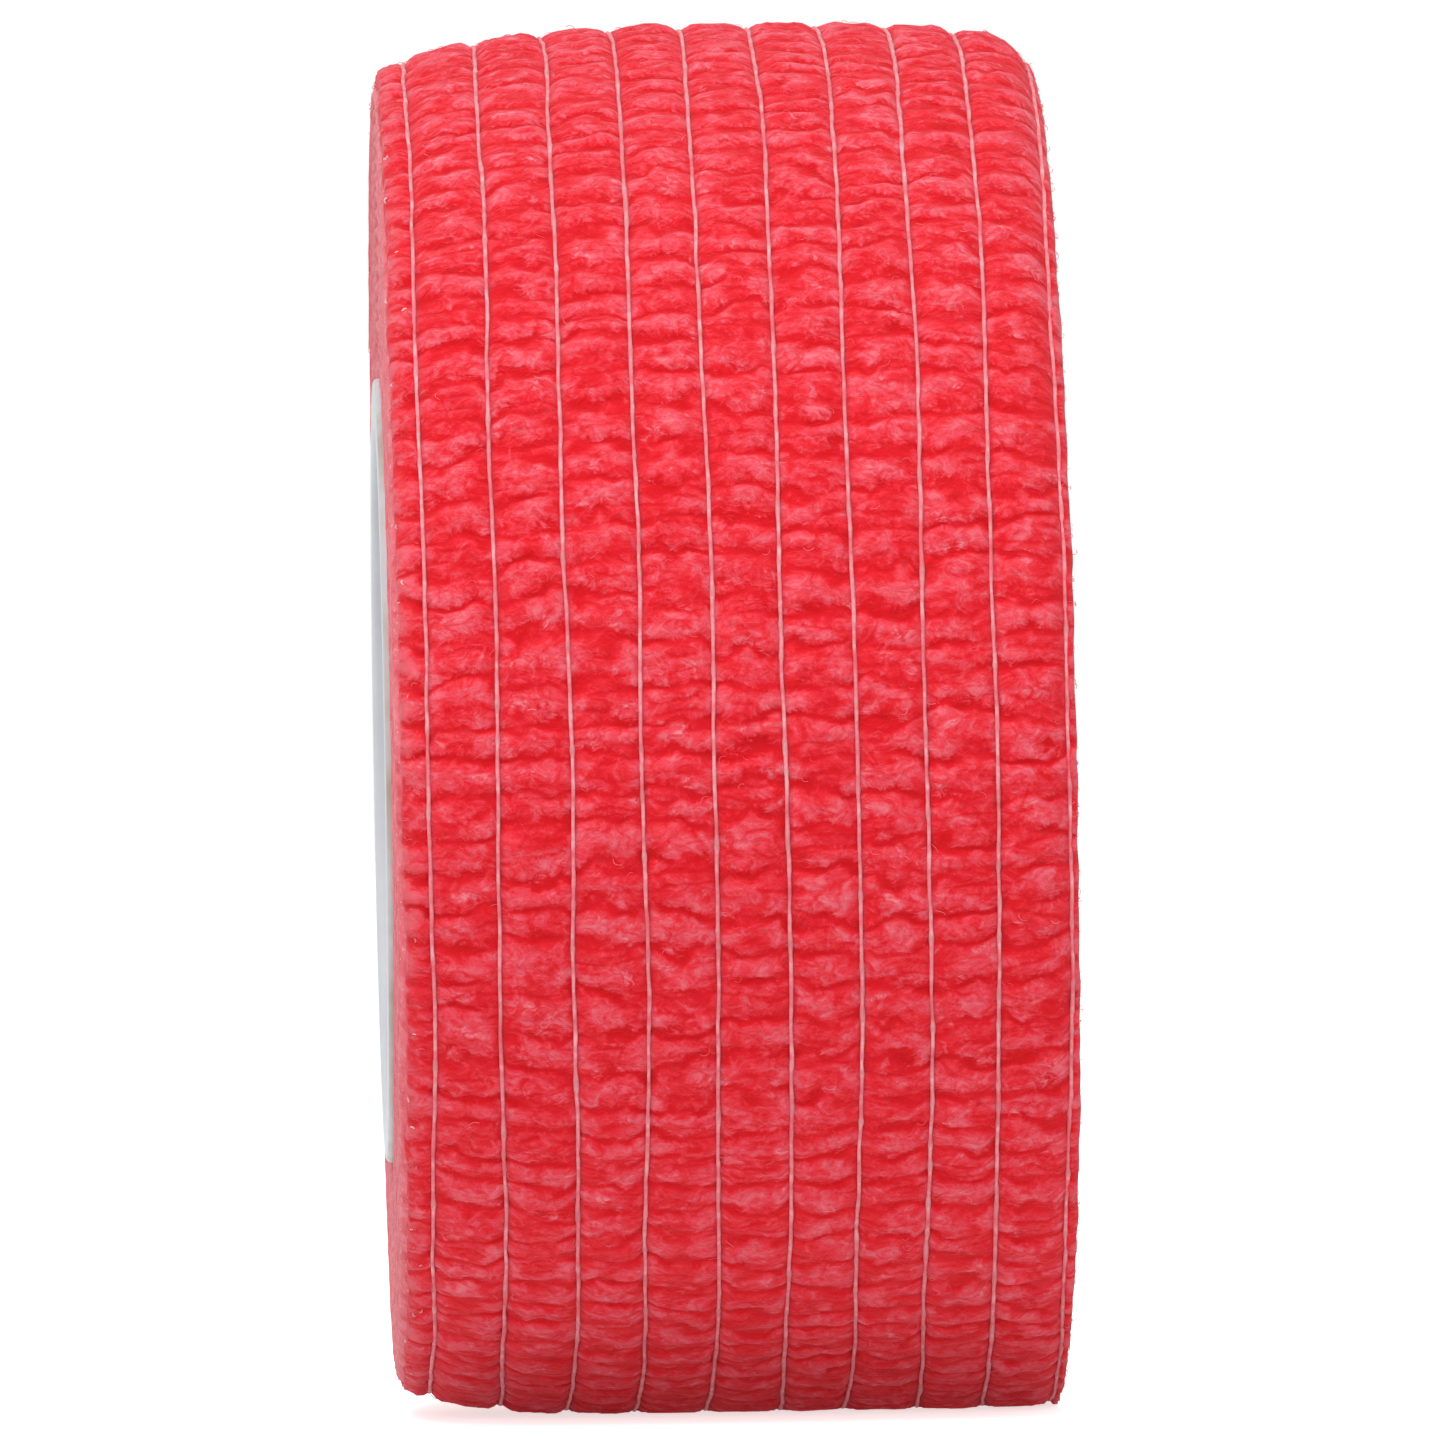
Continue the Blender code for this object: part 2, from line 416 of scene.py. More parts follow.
class Winding:
    """The spiral of the strip, in millimetres about the core's axis.

    The running angle starts at the bottom of the roll, goes up the front, over the top and down the
    back, once for each turn. The run is the length along the outer face, from 0 at the hinge.
    """

    def __init__(self, scene):
        s = scene.winding_sizes
        self.axis_z = AXIS_Z / MM
        self.width = s.width / MM
        self.pitch, self.gap = s.pitch / MM, s.gap / MM
        self.first = (CORE_RADIUS + s.seat_gap) / MM
        depth = self.pitch * (s.turns + 1)
        self.lean = s.core_drop / MM / depth
        self.flat_angle = math.asin(s.rest_flat / MM / 2 / (self.first + depth - s.core_drop / MM))
        self.skew, self.aside = s.skew / MM, s.aside / MM
        self.tip = s.turns * TURN + s.tip_angle
        self.root = self.tip - s.free_length / MM / float(self.outer(self.tip))
        angles = np.linspace(self.root - TURN - 0.3, self.tip + 0.3, 6000)
        radii = self.outer(angles)
        runs = np.concatenate([[0], np.cumsum(np.diff(angles) * (radii[1:] + radii[:-1]) / 2)])
        self.table = angles, runs - np.interp(self.root, angles, runs)
        self.pressed_to = float(self.run_at(self.tip - TURN))

        top = self.axis_z + self.outer(s.turns * TURN + math.pi)
        hinge = self.place(0.0, self.outer(self.root), self.root)
        off = max(abs(top * MM - WRAP_HIGH.z), math.dist(hinge, frame["joints"][0]["pos_m"]))
        if off > 0.3 * MM:
            raise RuntimeError("the packed roll and these winding sizes don't agree")

    def turns(self, angle):
        """How many turns lie under the strip at an angle. It doesn't grow across the rest flat."""
        angle = np.asarray(angle, float)
        whole = np.floor(angle / TURN)
        share = (angle - whole * TURN - self.flat_angle) / (TURN - 2 * self.flat_angle)
        share = np.clip(share, 0, 1)
        hug = np.clip(1 - whole / HUGGING_TURNS, 0, 1)
        return whole + share + hug * (smooth((share - CLIMB) / (1 - CLIMB)) - share)

    def inner(self, angle):
        """Radius of the strip's inner face."""
        return self.first + self.pitch * self.turns(angle) * (1 - self.lean * np.cos(angle))

    def outer(self, angle):
        """Radius of the channels' tops."""
        return self.inner(np.asarray(angle) + TURN) - self.gap

    def place(self, x, radius, angle):
        """Points in metres, in the packed model's frame."""
        x, radius, angle = np.broadcast_arrays(x, radius, angle)
        points = [x, -radius * np.sin(angle), self.axis_z - radius * np.cos(angle)]
        return np.stack(points, -1) * MM

    def angle_at(self, run):
        return np.interp(run, self.table[1], self.table[0])

    def run_at(self, angle):
        return np.interp(angle, *self.table)

    def strip_length(self, start, end):
        """Length of the strip along its middle, between two angles."""
        angles = np.linspace(start, end, 4000)
        radii = (self.inner(angles) + self.outer(angles)) / 2
        return float(np.sum((radii[1:] + radii[:-1]) / 2 * np.diff(angles)))

    def shift(self, angle):
        """How far the last turn has wandered to the right."""
        return self.aside + self.skew * np.cos(angle)

    def droop(self, x, angle):
        """How far the soft edges of the roll have sunk, at a place across it."""
        over = (1 - np.cos(angle)) / 2
        sunk = 0.0
        for side, plain, raised, reach in SOFT_EDGES:
            away = np.maximum(self.width / 2 + side * (x - self.shift(angle)), 0)
            sunk = sunk + (plain + raised * over) * np.exp(-away / reach)
        return sunk

    def pressed(self, run):
        """1 where the strip's end lies on top and presses the web down, easing to 0 over 0.8 mm."""
        return smooth((self.pressed_to + 0.4 - run) / 0.8)

    def bend(self):
        """Where the free end starts to leave the roll, and where it has left it."""
        start = self.place(0.0, self.outer(self.root), self.root)
        tangent = np.array([0.0, -math.cos(self.root), math.sin(self.root)])
        return tuple(start), tuple(start + CLEAR_RUN * MM * tangent)


class Crepe:
    """The relief of the web, in millimetres, over its run and across its width."""

    def __init__(self, scene, winding):
        threads, sizes = scene.thread_sizes, scene.crepe_sizes
        self.winding = winding
        self.count = threads.count
        self.valley = sizes.valley / MM
        self.spacing = sizes.fold_spacing / MM
        self.height = sizes.fold_height / MM
        self.right_tuck = sizes.right_tuck / MM
        self.thread_depth = threads.depth / MM
        self.thread_pitch = threads.pitch / MM
        first = -winding.width / 2 + threads.margin / MM
        self.threads = [first + i * self.thread_pitch for i in range(self.count)]
        self.uneven = {name: Noise(*row) for name, row in UNEVEN.items()}

    def lines(self, run):
        """The X of the left edge, of each thread and of the right edge, for each run.

        Every line has a row of the noise to itself, so no two of them wander alike.
        """
        n = self.uneven
        shift = self.winding.shift(self.winding.angle_at(run))
        half = self.winding.width / 2
        lines = [-half + shift + n["left_ruffle"](run, 0.5) + n["left_drift"](run, 3.5)]
        for thread, x in enumerate(self.threads):
            away = n["thread_drift"](run, thread * 7.3) + n["thread_waver"](run, thread * 3.1 + 0.5)
            lines.append(x + shift + away)
        right = half - self.right_tuck + shift
        lines.append(right + n["right_ruffle"](run, 9.5) + n["right_drift"](run, 12.5))
        return np.stack(lines, -1)

    def folds(self, run, x, channel):
        """Height of the crosswise folds about 0, then the broad and narrow folds' counts and the vigour.

        Broad folds stand up where the vigour is high, and where it is low narrow ones take over. Each
        channel's folds are a little out of step with the next one's.
        """
        n = self.uneven
        broad = run / self.spacing + n["fold_drift"](run, x) + n["fold_bend"](run, x)
        broad = broad + n["fold_step"](run, channel * 1.37 + 0.5) + n["fold_jog"](run, x)
        narrow = run / (NARROW * self.spacing) + n["narrow_drift"](run, x) + n["narrow_bend"](run, x)
        vigour = n["vigour"](run, x)
        first = np.clip(0.75 + 0.95 * vigour, 0.08, 1.3) * (np.abs(np.sin(np.pi * broad)) ** 1.05 - 0.60)
        second = np.clip(0.50 - 0.55 * vigour, 0.1, 1.0) * (np.abs(np.sin(np.pi * narrow)) - 0.62)
        lumps = n["lump"](run, x) + n["pebble"](run, x) + n["grain"](run, x)
        return self.height * (first + 0.45 * second) + lumps, np.stack([broad, narrow, vigour], -1)

    def channel_at(self, x):
        """The channel that a place across the strip lies in."""
        return np.clip(np.floor((x - self.threads[0]) / self.thread_pitch) + 1, 0, self.count)

    def relief(self, run, lines, columns):
        """X, height above the channels' nominal tops, and folds, for columns of (channel, share)."""
        channel = np.array([c for c, _ in columns])[None, :]
        across = np.array([a for _, a in columns])[None, :]
        low, high = lines[:, channel[0]], lines[:, channel[0] + 1]
        x = low + (high - low) * across
        run = run[:, None]
        margin = (channel == 0) | (channel == self.count)
        out = np.where(channel == 0, 1 - across, across)
        puff = np.where(margin, 1 - (1 - np.clip(out, 0, 1)) ** 4, 1 - np.abs(2 * across - 1) ** 4)
        puff = puff * (1 + self.uneven["puff"](run, channel * 1.7 + 0.5))
        fold, places = self.folds(run, x, channel)
        # the threads hold the folds down near them
        grip = 0.45 + 0.55 * smooth(np.minimum(across, 1 - across) / 0.16)
        grip = np.where(margin, 0.9, grip)
        return x, self.valley * (puff - 1) + grip * fold, fold, places

    def thread_path(self, thread, run):
        """X and height of a thread's middle. A taut thread hardly follows the folds."""
        lift = self.uneven["thread_lift"](run, thread * 2.3 + 0.5)
        height = -self.thread_depth + lift - 0.12 * self.winding.pressed(run)
        return self.lines(run)[:, thread + 1], height


def strip_columns(count):
    """(channel, share of the way across it) of the mesh's columns, closest together in valleys."""
    spread = (0.0, 0.035, 0.09, 0.17, 0.30, 0.50, 0.70, 0.83, 0.91, 0.965)
    columns = [(0, share) for share in (0.06, 0.25, 0.5, 0.78, 0.93)]
    for channel in range(1, count):
        columns += [(channel, share) for share in spread]
    return columns + [(count, share) for share in (0.0, 0.09, 0.3, 0.6, 0.92)]


def strip_runs(winding, start, end, step):
    """The runs of a stretch's rows. They are further apart where the strip's end hides them."""
    runs, last = [float(winding.run_at(start))], float(winding.run_at(end))
    hidden_step = 1.9 * step
    while runs[-1] < last - step:
        runs.append(runs[-1] + (hidden_step if runs[-1] < winding.pressed_to else step))
    return np.array(runs[:-1] + [last])


def web_strip(name, scene, winding, start, end, lined=False):
    """A closed stretch of the creped web between two running angles, and its flat size in metres.

    A lined stretch has folds on its inner face as well.
    """
    crepe = Crepe(scene, winding)
    run = strip_runs(winding, start, end, scene.crepe_sizes.row_step / MM)
    angle = winding.angle_at(run)[:, None]
    lines = crepe.lines(run)
    columns = strip_columns(crepe.count)
    x, height, fold, places = crepe.relief(run, lines, columns)
    # under the strip's end the relief is pressed to less than half, and 0.16 mm further down
    under = winding.pressed(run)[:, None]
    height = height * (1 - under) + under * np.minimum(0.45 * height - 0.16, -0.05)
    outer = winding.outer(angle)
    depth = winding.inner(angle) - outer

    # the right lip, the inner face from right to left, and the left lip
    left, right, inset = lines[:, :1], lines[:, -1:], 0.14
    plain = np.array([1, 0.97, 0.93, 0.86, 0.74, 0.5, 0.26, 0.14, 0.07, 0.03, 0])
    share = np.linspace(1, 0, 46) if lined else plain
    back_x = left + inset + (right - left - 2 * inset) * share[None, :]
    ripple, back_places = crepe.folds(run[:, None], back_x, crepe.channel_at(back_x))
    back = depth + lined * (0.10 + 0.4 * ripple)
    right_lip = 0.5 * (height[:, -1:] + back[:, :1])
    left_lip = 0.5 * (height[:, :1] + back[:, -1:])
    xs = np.concatenate([x, right, back_x, left], 1)
    heights = np.concatenate([height, right_lip, back, left_lip], 1)
    places = np.concatenate([places, places[:, -1:], back_places, places[:, :1]], 1)
    points = winding.place(xs, outer + heights - winding.droop(xs, angle), angle)
    points[..., 2] = np.maximum(points[..., 2], 0.0)
    mesh = solid_mesh(name, points, ring_faces(*xs.shape), sharp=75)

    keep(mesh, "cloth_mm", np.stack([np.broadcast_to(run[:, None], xs.shape), xs, heights], -1))
    keep(mesh, "folds", places)
    # how near the cut edges are, up to 0.8 mm from the left one and 0.35 mm from the right one
    keep(mesh, "cut", smooth(1 - np.minimum((xs - left) / 0.8, (right - xs) / 0.35)))
    # loose fibres, but none where the strip's end or the floor holds them down
    loose = (1 - under) * (points[..., 2] > 0.6 * MM)
    nap = np.zeros_like(xs)
    nap[:, :x.shape[1]] = np.clip(0.35 + 0.5 * fold / crepe.height, 0.05, 1.0)
    keep(mesh, "nap", nap * loose)
    keep(mesh, "rims", np.where(np.minimum(xs - left, right - xs) < 0.25, loose, 0.0))
    # lint clings to the left rim, most of it on the front of the roll
    facing = np.where((angle > 0.1) & (angle < 1.75), 1.0, 0.15)
    keep(mesh, "left_rim", np.where((xs - left < 0.5) & (heights > -0.45), facing * loose, 0.0))
    # the columns next to a thread, where a painted shadow of the thread lies, darkest on its right
    thread_shadow = np.zeros_like(xs)
    for column, (_, across) in enumerate(columns):
        thread_shadow[:, column] = {0.035: 1.0, 0.965: 0.25}.get(across, 0.0)
    keep(mesh, "thread_shadow", thread_shadow)
    mesh.materials.append(material_named("creped_nonwoven", crepe_material, scene.wrap_colours))
    return new_object(name, mesh), (winding.width * MM, (run[-1] - run[0]) * MM)


# ---------------------------------------------------------------- materials


def new_material(name):
    """A material with nodes, its tree and its Principled shader."""
    material = bpy.data.materials.new(name)
    material.use_nodes = True
    return material, material.node_tree, material.node_tree.nodes["Principled BSDF"]


def material_named(name, maker, *arguments):
    """The material of that name, made if it isn't there yet."""
    return bpy.data.materials.get(name) or maker(*arguments)


def crepe_material(colours):
    """Creped spunlaid polyamide nonwoven, dyed through and dipped in latex.

    The latex binds the fibres but leaves no film, so it is matt with a soft bloom at a glancing angle.
    Curly fibres lie mostly across the strip. They gather in pale patches where the folds stand up, and
    the creases between are painted a darker, deeper red as painted shade: it stands for the shade there
    and for the light that reaches the eye from there off several fibres.
    """
    material, tree, shader = new_material("creped_nonwoven")
    cloth, folds, cut, thread_shadow = (
        add(tree, "ShaderNodeAttribute", output=output, attribute_name=name)
        for name, output in (("cloth_mm", "Vector"), ("folds", "Vector"), ("cut", "Fac"), ("thread_shadow", "Fac"))
    )

    # Curly fibres, a few tenths of a millimetre from one bundle to the next, down to 0.02 mm
    lying = add(tree, "ShaderNodeMapping", {"Vector": cloth, "Scale": (2.8, 1.8, 0.0)})
    curls = add(
        tree, "ShaderNodeTexNoise",
        {"Vector": lying, "Scale": 1.0, "Detail": 4.0, "Roughness": 0.66, "Distortion": 1.5},
    )
    curls = add(tree, "ShaderNodeMath", {0: curls, 1: 0.5}, operation="SUBTRACT")

    # The creases, from the counts of folds that the mesh carries: ragged lines about 0.15 mm wide.
    # Broad folds show where the vigour is high, and narrow ones where it is low.
    folds = add(tree, "ShaderNodeSeparateXYZ", {"Vector": folds}, output=None)
    waves, shown, creases = [], [], []
    for count, ragged, width, low, high, least, most in (
        (folds["X"], 0.45, 0.60, -0.55, 0.25, 0.15, 1.0),
        (folds["Y"], 0.50, 0.70, 0.35, -0.45, 0.0, 0.55),
    ):
        phase = add(tree, "ShaderNodeMath", {0: curls, 1: ragged, 2: count}, operation="MULTIPLY_ADD")
        phase = add(tree, "ShaderNodeMath", {0: phase, 1: math.pi}, operation="MULTIPLY")
        wave = add(tree, "ShaderNodeMath", {0: phase}, operation="SINE")
        waves.append(add(tree, "ShaderNodeMath", {0: wave}, operation="ABSOLUTE"))
        line = add(
            tree, "ShaderNodeMapRange", {"Value": waves[-1], "From Max": width, "To Min": 1.0, "To Max": 0.0},
            interpolation_type="SMOOTHSTEP",
        )
        shown.append(add(tree, "ShaderNodeMapRange", {
            "Value": folds["Z"], "From Min": low, "From Max": high, "To Min": least, "To Max": most,
        }))
        creases.append(add(tree, "ShaderNodeMath", {0: line, 1: shown[-1]}, operation="MULTIPLY"))
    crease = add(tree, "ShaderNodeMath", dict(enumerate(creases)), operation="MAXIMUM")

    # Patches where the fibres have been rubbed up, 1 mm across, most of them on the crests
    spread = add(
        tree, "ShaderNodeMapping", {"Vector": cloth, "Location": (2.0, 6.0, 0.0), "Scale": (1.6, 1.15, 0.0)}
    )
    cloud = add(
        tree, "ShaderNodeTexNoise",
        {"Vector": spread, "Scale": 1.0, "Detail": 6.0, "Roughness": 0.70, "Distortion": 0.8},
    )
    crest = add(tree, "ShaderNodeMath", {0: waves[0], 1: shown[0]}, operation="MULTIPLY")
    for what, much in ((crest, 0.16), (crease, -0.10)):
        cloud = add(tree, "ShaderNodeMath", {0: what, 1: much, 2: cloud}, operation="MULTIPLY_ADD")
    rubbed = add(
        tree, "ShaderNodeMapRange", {"Value": cloud, "From Min": 0.46, "From Max": 0.70},
        interpolation_type="SMOOTHSTEP",
    )
    faded = add(tree, "ShaderNodeTexNoise", {"Vector": cloth, "Scale": 0.28, "Detail": 1.0})

    # single bright fibre ends, a few millimetres apart and of many sizes
    cells = add(
        tree, "ShaderNodeTexVoronoi", {"Vector": lying, "Scale": 0.20}, output=None, voronoi_dimensions="2D"
    )
    size = add(tree, "ShaderNodeSeparateColor", {"Color": cells["Color"]})
    size = add(tree, "ShaderNodeMath", {0: size, 1: 0.06, 2: curls}, operation="MULTIPLY_ADD")
    ends = add(tree, "ShaderNodeMath", {0: size, 1: cells["Distance"]}, operation="SUBTRACT")
    ends = add(tree, "ShaderNodeMapRange", {"Value": ends, "From Max": 0.03}, interpolation_type="SMOOTHSTEP")

    # how much each of them lightens a place, from the painted shade of a crease, a deep red, to the palest
    # fibres
    tufts = add(tree, "ShaderNodeMath", {0: rubbed, 1: 0.28, 2: 0.62}, operation="MULTIPLY_ADD")
    lit = add(tree, "ShaderNodeMath", {0: curls, 1: tufts}, operation="MULTIPLY")
    # the crease term darkens the creases with painted shade
    for what, much in ((rubbed, 0.20), (cloud, 0.60), (crease, -0.24), (faded, 0.16), (ends, 0.16)):
        lit = add(tree, "ShaderNodeMath", {0: what, 1: much, 2: lit}, operation="MULTIPLY_ADD")
    lit = add(tree, "ShaderNodeMath", {0: lit, 1: 0.022}, operation="SUBTRACT")
    web = add(tree, "ShaderNodeValToRGB", {"Fac": lit}, stops=(
        (0.0, colours.crease), (0.25, "#EA1828"), (0.45, colours.web), (0.62, "#F85060"),
        (0.80, colours.pale), (1.0, "#FF929B"),
    ))

    # over that, a painted shadow beside the threads, sparse dull dots of dried latex 0.25 mm across, and lint
    # on the cut edges
    # painted shadow of the threads, darkest on their right
    beside = add(tree, "ShaderNodeMath", {0: thread_shadow, 1: 0.30}, operation="MULTIPLY")
    drops = add(
        tree, "ShaderNodeTexVoronoi", {"Vector": spread, "Scale": 0.36}, output="Distance",
        voronoi_dimensions="2D",
    )
    drops = add(
        tree, "ShaderNodeMapRange", {"Value": drops, "From Min": 0.07, "From Max": 0.02, "To Max": 0.20},
        interpolation_type="SMOOTHSTEP",
    )
    lint = add(tree, "ShaderNodeMath", {0: rubbed, 1: 0.75, 2: 0.12}, operation="MULTIPLY_ADD")
    lint = add(tree, "ShaderNodeMath", {0: lint, 1: cut}, operation="MULTIPLY")
    for share, shade in ((beside, "#A83A46"), (drops, "#9C4A46"), (lint, colours.edge)):
        web = add(
            tree, "ShaderNodeMix", {"Factor": share, "A": web, "B": shade}, output=2, data_type="RGBA"
        )

    # a crease is pinched in sharply, and tufts stand up to 0.05 mm proud
    rise = curls
    for what, much in ((crease, -0.08), (rubbed, 0.15)):
        rise = add(tree, "ShaderNodeMath", {0: what, 1: much, 2: rise}, operation="MULTIPLY_ADD")
    plug(tree, shader, {
        "Base Color": web,
        "Normal": add(tree, "ShaderNodeBump", {"Strength": 0.7, "Distance": 0.22 * MM, "Height": rise}),
        "Roughness": 0.85,
        "Specular IOR Level": 0.2,
        "Subsurface Weight": 0.6,
        "Subsurface Radius": (1.0, 0.15, 0.12),
        "Subsurface Scale": 0.3 * MM,
        "Sheen Weight": 0.15,
        "Sheen Roughness": 0.45,
        "Sheen Tint": "#FFC4C8",
    })
    return material


def edge_material(colours):
    """The same nonwoven cut to width with a knife: edge on it is a mass of cut fibre ends.

    It is paler and duller than the face, partly because the cut ends scatter light and hold lint, and partly
    as a painted sheen that brightens the roll's side faces.
    """
    material, tree, shader = new_material("knife_cut_nonwoven")
    place = add(tree, "ShaderNodeTexCoord", output="Object")
    place = add(tree, "ShaderNodeMapping", {"Vector": place, "Scale": (1000.0, 1000.0, 1000.0)})
    mottle = add(
        tree, "ShaderNodeTexNoise", {"Vector": place, "Scale": 1.3, "Detail": 5.0, "Roughness": 0.65}
    )
    tone = add(
        tree, "ShaderNodeValToRGB", {"Fac": mottle},
        stops=((0.30, "#DC4452"), (0.50, colours.edge), (0.74, "#F6919A")),
    )
    ends = add(tree, "ShaderNodeTexNoise", {"Vector": place, "Scale": 7.0, "Detail": 2.0})
    speck = add(
        tree, "ShaderNodeMapRange", {"Value": ends, "From Min": 0.60, "From Max": 0.74, "To Max": 0.4},
        interpolation_type="SMOOTHSTEP",
    )
    tone = add(
        tree, "ShaderNodeMix", {"Factor": speck, "A": tone, "B": colours.fleck}, output=2, data_type="RGBA"
    )
    plug(tree, shader, {
        "Base Color": tone,
        "Normal": add(tree, "ShaderNodeBump", {"Strength": 0.6, "Distance": 0.06 * MM, "Height": ends}),
        "Roughness": 0.9,
        "Specular IOR Level": 0.2,
        "Sheen Weight": 0.2,
        "Sheen Roughness": 0.5,
    })
    return material


def thread_material(colours):
    """Elastane filament covered with white textured yarn, which the red dip has tinted pink.

    The covering makes it soft and slightly silky. Knots in it are greyer, and here and there fibres of
    the web lie over it.
    """
    material, tree, shader = new_material("covered_elastane")
    place = add(tree, "ShaderNodeTexCoord", output="Object")
    tint = add(
        tree, "ShaderNodeTexNoise", {"Vector": place, "Scale": 1600.0, "Detail": 3.0, "Roughness": 0.65}
    )
    tone = add(
        tree, "ShaderNodeValToRGB", {"Fac": tint},
        stops=((0.30, "#E86573"), (0.50, colours.thread), (0.70, "#FFB8BD")),
    )
    veil = add(
        tree, "ShaderNodeTexNoise", {"Vector": place, "Scale": 620.0, "Detail": 1.0, "Roughness": 0.6}
    )
    veil = add(
        tree, "ShaderNodeMapRange", {"Value": veil, "From Min": 0.56, "From Max": 0.68, "To Max": 0.6},
        interpolation_type="SMOOTHSTEP",
    )
    knot = add(tree, "ShaderNodeAttribute", output="Fac", attribute_name="knot")
    knot = add(tree, "ShaderNodeMath", {0: knot, 1: 0.45}, operation="MULTIPLY")
    for share, shade in ((veil, "#EE5560"), (knot, "#D08A8E")):
        tone = add(
            tree, "ShaderNodeMix", {"Factor": share, "A": tone, "B": shade}, output=2, data_type="RGBA"
        )
    twist = add(tree, "ShaderNodeTexNoise", {"Vector": place, "Scale": 5200.0, "Detail": 1.0})
    plug(tree, shader, {
        "Base Color": tone,
        "Normal": add(tree, "ShaderNodeBump", {"Strength": 0.6, "Distance": 0.06 * MM, "Height": twist}),
        "Roughness": 0.6,
        "Specular IOR Level": 0.35,
        "Sheen Weight": 0.15,
    })
    return material


def fibre_material(colours):
    """Single polyamide fibres that stand off the web: translucent, so paler than the web itself."""
    material, tree, shader = new_material("loose_polyamide_fibre")
    place = add(tree, "ShaderNodeTexCoord", output="Object")
    tint = add(tree, "ShaderNodeTexNoise", {"Vector": place, "Scale": 700.0, "Detail": 1.0})
    tone = add(
        tree, "ShaderNodeValToRGB", {"Fac": tint},
        stops=((0.35, "#F4525F"), (0.58, colours.pale), (0.78, "#FFB0B5")),
    )
    plug(tree, shader, {"Base Color": tone, "Roughness": 0.6, "Specular IOR Level": 0.35})
    return material


def lint_material(colours):
    """Undyed polyester lint that the knife has left on the rim: near white and matt."""
    material, tree, shader = new_material("undyed_polyester_lint")
    place = add(tree, "ShaderNodeTexCoord", output="Object")
    tint = add(tree, "ShaderNodeTexNoise", {"Vector": place, "Scale": 600.0, "Detail": 1.0})
    tone = add(tree, "ShaderNodeValToRGB", {"Fac": tint}, stops=((0.35, "#F2A9AE"), (0.6, colours.fleck)))
    plug(tree, shader, {"Base Color": tone, "Roughness": 0.7})
    return material


def core_material(colours):
    """Extruded white polypropylene tube, sawn to length.

    The die leaves faint lines along it and a satin gloss. Its outside, where the strip lies on it, is tan
    in patches.
    """
    material, tree, shader = new_material("extruded_polypropylene")
    place = add(tree, "ShaderNodeTexCoord", output="Object")
    along = add(tree, "ShaderNodeMapping", {"Vector": place, "Scale": (40.0, 1000.0, 1000.0)})
    lines = add(
        tree, "ShaderNodeTexNoise", {"Vector": along, "Scale": 2.2, "Detail": 3.0, "Roughness": 0.6}
    )
    mottle = add(tree, "ShaderNodeTexNoise", {"Vector": place, "Scale": 260.0, "Detail": 3.0})
    tone = add(tree, "ShaderNodeValToRGB", {"Fac": mottle}, stops=((0.3, "#D0D1D6"), (0.6, colours.core)))
    # tan patches on the tube's outside, where the strip lies on it
    outer_tan = add(tree, "ShaderNodeAttribute", output="Fac", attribute_name="outer_tan")
    patchy = add(
        tree, "ShaderNodeMapRange", {"Value": mottle, "From Min": 0.40, "From Max": 0.60, "To Min": 0.15}
    )
    outer_tan = add(tree, "ShaderNodeMath", {0: outer_tan, 1: patchy}, operation="MULTIPLY")
    tone = add(
        tree, "ShaderNodeMix", {"Factor": outer_tan, "A": tone, "B": "#B3A596"}, output=2, data_type="RGBA"
    )
    gloss = add(tree, "ShaderNodeMapRange", {
        "Value": lines, "From Min": 0.3, "From Max": 0.7, "To Min": 0.34, "To Max": 0.5,
    })
    plug(tree, shader, {
        "Base Color": tone,
        "Roughness": gloss,
        "Normal": add(tree, "ShaderNodeBump", {"Strength": 0.25, "Distance": 0.03 * MM, "Height": lines}),
        "IOR": 1.49,
    })
    return material


def floor_material():
    """A white acrylic light table, which glows faintly and so lifts the shade under the roll.

    The eye, glass and gloss see it as white with the roll's shadow on it.
    """
    material, tree, shader = new_material("white_acrylic_table")
    plug(tree, shader, {
        "Base Color": "#DDDDDE",
        "Roughness": 0.95,
        "Specular IOR Level": 0.0,
        "Emission Color": "#FFFFFF",
        "Emission Strength": 0.14,
    })
    paper = add(tree, "ShaderNodeBsdfDiffuse", {"Color": (0.82, 1.0, 1.0)})
    glow = add(tree, "ShaderNodeEmission", {"Color": "#FFFFFF", "Strength": 0.65})
    white = add(tree, "ShaderNodeAddShader", {0: paper, 1: glow})
    both = add(
        tree, "ShaderNodeMixShader", {0: seen_straight(tree), 1: shader.outputs["BSDF"], 2: white}
    )
    plug(tree, tree.nodes["Material Output"], {"Surface": both})
    return material


# ---------------------------------------------------------------- node trees


